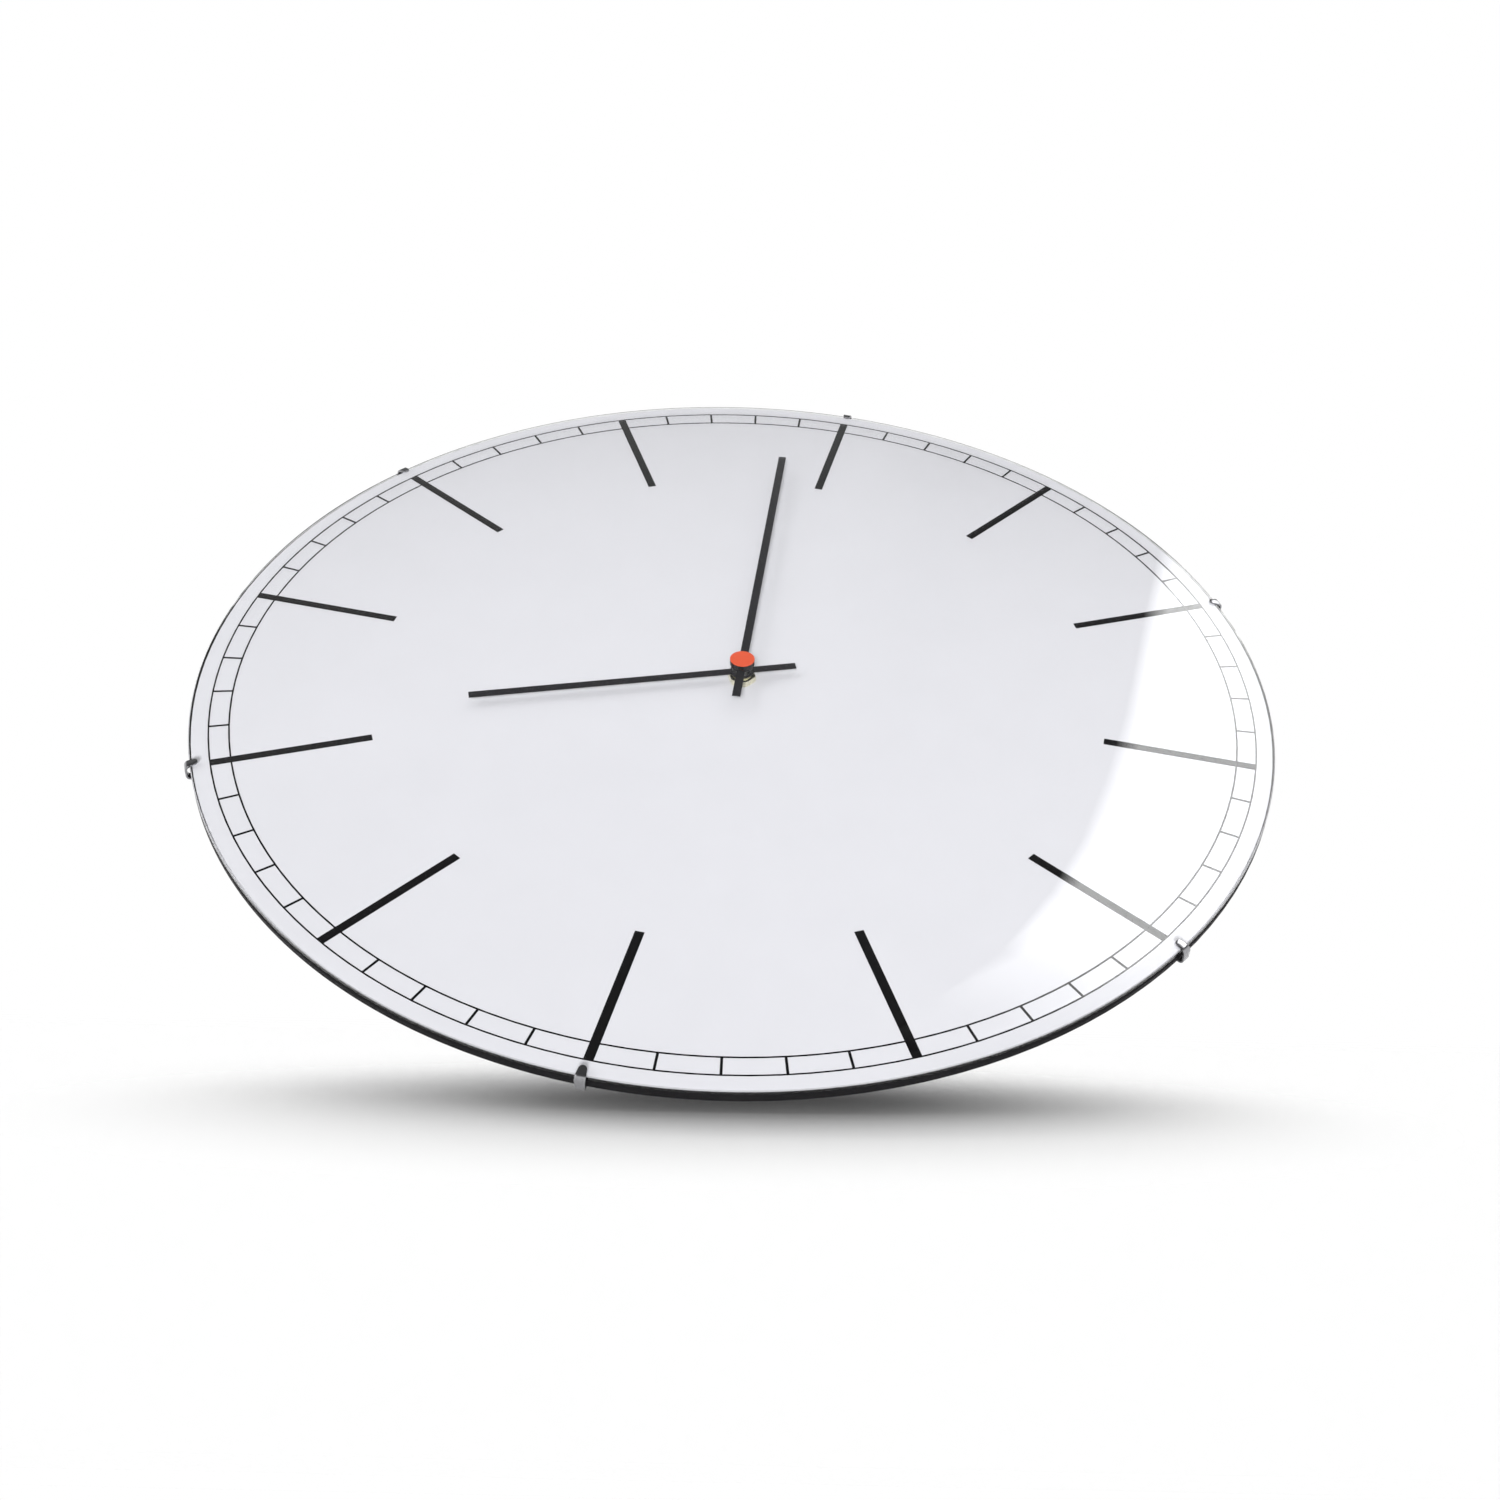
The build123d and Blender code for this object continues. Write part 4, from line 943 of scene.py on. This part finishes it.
# Widths of the soft border and of the evenly lit part behind it.
SOFTBOX_BORDER = 0.05
SOFTBOX_WIDTH = 0.6
FLOOR_HALF = 0.6
# Thin sheets of the floor: how many, how far apart, and how much an upper one hides.
FLOOR_SHEETS = 6
FLOOR_SPACING = 0.0018
FLOOR_COVER = 0.14
# Whiteness of the floor to rays that only light other things, and to rays that show it.
FLOOR_PAINT = (0.5, 1.75)
# Distances from the clock between which the floor turns white.
FLOOR_FADE = (0.05, 0.29)


def dial_centre():
    """The middle of the dial's face, where the camera and the studio are measured from."""
    return Vector((SPINDLE.x, -DIAL_FACE, SPINDLE.z))


def frame_of(along, back, place):
    """A matrix whose x runs along one direction and whose z points back."""
    across = back.cross(along).normalized()
    axes = Matrix((along, across, back)).transposed()
    return Matrix.Translation(place) @ axes.to_4x4()


def build_camera():
    """The camera at the photograph's viewing angle."""
    lens = bpy.data.cameras.new("view")
    lens.lens = VIEW_LENS
    lens.sensor_width = VIEW_SENSOR
    lens.shift_x, lens.shift_y = VIEW_SHIFT
    lens.clip_start, lens.clip_end = VIEW_NEAR, VIEW_FAR
    place = dial_centre() + VIEW_FROM
    bpy.context.scene.camera = add_object("view", lens, frame_of(VIEW_SIDE, VIEW_BACK, place))


def add_sun(name, source, strength, spread, mirrored):
    """A broad soft lamp that shines from a direction."""
    lamp = bpy.data.lights.new(name, "SUN")
    lamp.energy = strength * pi
    lamp.angle = radians(spread)
    turned = source.normalized().to_track_quat("Z", "Y").to_matrix().to_4x4()
    made = add_object(name, lamp, turned)
    made.visible_glossy = mirrored
    made.visible_transmission = False


def add_softbox(brightness):
    """A long lit sheet beside the clock, which shows only in the glass and in bright metal."""
    bm = bmesh.new()
    glow = bm.verts.layers.float.new("glow")
    points = [bm.verts.new((along, across, 0)) for along, across, _ in SOFTBOX_LINE]
    line = [bm.edges.new(pair) for pair in zip(points, points[1:])]
    glows = {round(along, 3): shine for along, _, shine in SOFTBOX_LINE}
    for reach_across in (SOFTBOX_BORDER, SOFTBOX_WIDTH):
        made = bmesh.ops.extrude_edge_only(bm, edges=line)["geom"]
        inner, line = points_in(made), edges_in(made)
        bmesh.ops.translate(bm, vec=(0, reach_across, 0), verts=inner)
        for vert in inner:
            vert[glow] = glows[round(vert.co.x, 3)]
    mesh = mesh_of(bm, "softbox")
    lit = bpy.data.materials.new("softbox_sheet")
    lit.use_nodes = True
    tree = lit.node_tree
    tree.nodes.clear()
    soft = add(tree, "Attribute", attribute_name="glow").outputs["Fac"]
    shine = add(tree, "Emission", {"Strength": calc(tree, "MULTIPLY", soft, brightness)}).outputs[0]
    tree.links.new(shine, add(tree, "OutputMaterial").inputs["Surface"])
    mesh.materials.append(lit)
    place = frame_of(SOFTBOX_ALONG, SOFTBOX_BACK, dial_centre() + SOFTBOX_EDGE)
    made = add_object("softbox", mesh, place)
    made.visible_camera = False
    made.visible_diffuse = False
    made.visible_shadow = False


def trace_rays(tree):
    """Marks the rays that come from the camera, and those that a surface mirrored or let through."""
    rays = add(tree, "LightPath").outputs
    bent = calc(tree, "MAXIMUM", rays["Is Glossy Ray"], rays["Is Transmission Ray"])
    return rays["Is Camera Ray"], bent


def build_world(studio):
    """White behind everything, a soft fill in front of the dial, and a dim room for mirrored rays."""
    world = bpy.data.worlds.get("studio") or bpy.data.worlds.new("studio")
    bpy.context.scene.world = world
    world.use_nodes = True
    tree = world.node_tree
    tree.nodes.clear()
    straight, bent = trace_rays(tree)
    white = add(tree, "Background", {"Color": (1, 1, 1, 1), "Strength": 1.0}).outputs[0]
    way = add(tree, "TexCoord").outputs["Generated"]
    height, behind, aside, ahead = [
        add(tree, "VectorMath", {0: way, 1: axis}, operation="DOT_PRODUCT").outputs["Value"]
        for axis in (VIEW_UP, VIEW_BACK, VIEW_SIDE, DIAL_WAY)
    ]
    glow = spread_out(tree, ahead, studio.fill_behind, studio.fill, *FILL_EDGE)
    fill = add(tree, "Background", {"Color": (1, 1, 1, 1), "Strength": glow}).outputs[0]
    beyond = spread_out(tree, behind, studio.wall, 0.0, *WALL_EDGE)
    left = spread_out(tree, aside, 1.0, 0.0, *WALL_SIDE)
    wall = calc(tree, "MULTIPLY", beyond, left)
    room = spread_out(tree, height, studio.backdrop, studio.ceiling, *CEILING_EDGE)
    seen = calc(tree, "MAXIMUM", room, wall)
    mirrored = add(tree, "Background", {"Color": (1, 1, 1, 1), "Strength": seen}).outputs[0]
    lit = add(tree, "MixShader", {0: bent, 1: fill, 2: mirrored}).outputs[0]
    both = add(tree, "MixShader", {0: straight, 1: lit, 2: white}).outputs[0]
    tree.links.new(both, add(tree, "OutputWorld").inputs["Surface"])


def floor_paper():
    """Paper that is white to the eye away from the clock, keeps the shadow and is open from below."""
    paper = bpy.data.materials.new("floor_paper")
    paper.use_nodes = True
    tree = paper.node_tree
    tree.nodes.clear()
    straight, bent = trace_rays(tree)
    seen = calc(tree, "MAXIMUM", straight, bent)
    shade = spread_out(tree, seen, *FLOOR_PAINT, 0.0, 1.0)
    grey = add(tree, "CombineColor", {0: shade, 1: shade, 2: shade}).outputs[0]
    paint = add(tree, "BsdfDiffuse", {"Color": grey}).outputs[0]
    away = distance(tree, add(tree, "TexCoord").outputs["Object"], (1, 1, 0))
    limits = {"Value": away, "From Min": FLOOR_FADE[0], "From Max": FLOOR_FADE[1]}
    faded = add(tree, "MapRange", limits, interpolation_type="SMOOTHSTEP").outputs["Result"]
    faded = calc(tree, "MULTIPLY", faded, seen)
    white = add(tree, "Emission", {"Color": (1, 1, 1, 1), "Strength": 1.0}).outputs[0]
    paint = add(tree, "MixShader", {0: faded, 1: paint, 2: white}).outputs[0]
    cover = add(tree, "Attribute", attribute_name="cover").outputs["Fac"]
    sheer = calc(tree, "MULTIPLY", calc(tree, "SUBTRACT", 1.0, cover), seen)
    sheer = calc(tree, "MAXIMUM", add(tree, "NewGeometry").outputs["Backfacing"], sheer)
    clear = add(tree, "BsdfTransparent").outputs[0]
    sided = add(tree, "MixShader", {0: sheer, 1: paint, 2: clear}).outputs[0]
    tree.links.new(sided, add(tree, "OutputMaterial").inputs["Surface"])
    return paper


def build_floor(studio):
    """A pale floor of thin sheets: the lowest shows through the upper ones and softens the shadow."""
    up = VIEW_UP - VIEW_BACK * tan(studio.floor_tilt) + VIEW_SIDE * tan(studio.floor_roll)
    up.normalize()
    low = min(v.co.dot(up) for node in NODES.values() for v in node.data.vertices)
    foot = dial_centre()
    foot += up * (low - studio.floor_drop - foot.dot(up))
    bm = bmesh.new()
    cover = bm.verts.layers.float.new("cover")
    for number in range(FLOOR_SHEETS):
        lower = Matrix.Translation((0, 0, -number * FLOOR_SPACING))
        sheet = bmesh.ops.create_grid(bm, x_segments=1, y_segments=1, size=FLOOR_HALF, matrix=lower)
        for vert in sheet["verts"]:
            vert[cover] = FLOOR_COVER if number < FLOOR_SHEETS - 1 else 1.0
    mesh = mesh_of(bm, "floor")
    mesh.materials.append(floor_paper())
    along = (VIEW_SIDE - up * VIEW_SIDE.dot(up)).normalized()
    made = add_object("floor", mesh, frame_of(along, up, foot))
    # The floor rises a little towards the camera and must not cut off the lamp there.
    made.visible_shadow = False


class CLOCK_OT_stage(Operator):
    """Set the floor, lamps, surroundings and camera"""

    bl_idname = "clock.stage"
    bl_label = "Studio"

    def execute(self, context):
        studio = context.scene.clock_studio
        context.scene.view_settings.view_transform = "Standard"
        build_camera()
        build_world(studio)
        build_floor(studio)
        for name, (source, spread, mirrored) in LAMPS.items():
            add_sun(name, source, getattr(studio, name), spread, mirrored)
        add_softbox(studio.softbox)
        return {"FINISHED"}


OPERATORS = (
    CLOCK_OT_case,
    CLOCK_OT_dial,
    CLOCK_OT_glass,
    CLOCK_OT_clips,
    CLOCK_OT_hands,
    CLOCK_OT_cap,
    CLOCK_OT_nut,
    CLOCK_OT_movement,
    CLOCK_OT_train,
    CLOCK_OT_motor,
    CLOCK_OT_circuit,
    CLOCK_OT_battery,
    CLOCK_OT_knob,
    CLOCK_OT_stage,
)
SETTINGS = {"clock_sizes": ClockSizes, "clock_colours": ClockColours, "clock_studio": ClockStudio}


class CLOCK_PT_pieces(Panel):
    """The clock's pieces, sizes, colours and studio"""

    bl_idname = "CLOCK_PT_pieces"
    bl_label = "Wall clock"
    bl_space_type = "VIEW_3D"
    bl_region_type = "UI"
    bl_category = "Clock"

    def draw(self, context):
        for operator in OPERATORS:
            self.layout.operator(operator.bl_idname)
        for setting, group in SETTINGS.items():
            box = self.layout.box()
            for name in group.__annotations__:
                box.prop(getattr(context.scene, setting), name)


CLASSES = (*SETTINGS.values(), *OPERATORS, CLOCK_PT_pieces)


def register():
    for item in CLASSES:
        bpy.utils.register_class(item)
    for setting, group in SETTINGS.items():
        setattr(bpy.types.Scene, setting, PointerProperty(type=group))


def unregister():
    for setting in SETTINGS:
        delattr(bpy.types.Scene, setting)
    for item in reversed(CLASSES):
        bpy.utils.unregister_class(item)


def main():
    """Makes every piece and the studio."""
    register()
    bpy.ops.clock.case()
    bpy.ops.clock.dial()
    bpy.ops.clock.glass()
    bpy.ops.clock.clips()
    bpy.ops.clock.hands()
    bpy.ops.clock.cap()
    bpy.ops.clock.nut()
    bpy.ops.clock.movement()
    bpy.ops.clock.train()
    bpy.ops.clock.motor()
    bpy.ops.clock.circuit()
    bpy.ops.clock.battery()
    bpy.ops.clock.knob()
    bpy.ops.clock.stage()


if __name__ == "__main__":
    main()
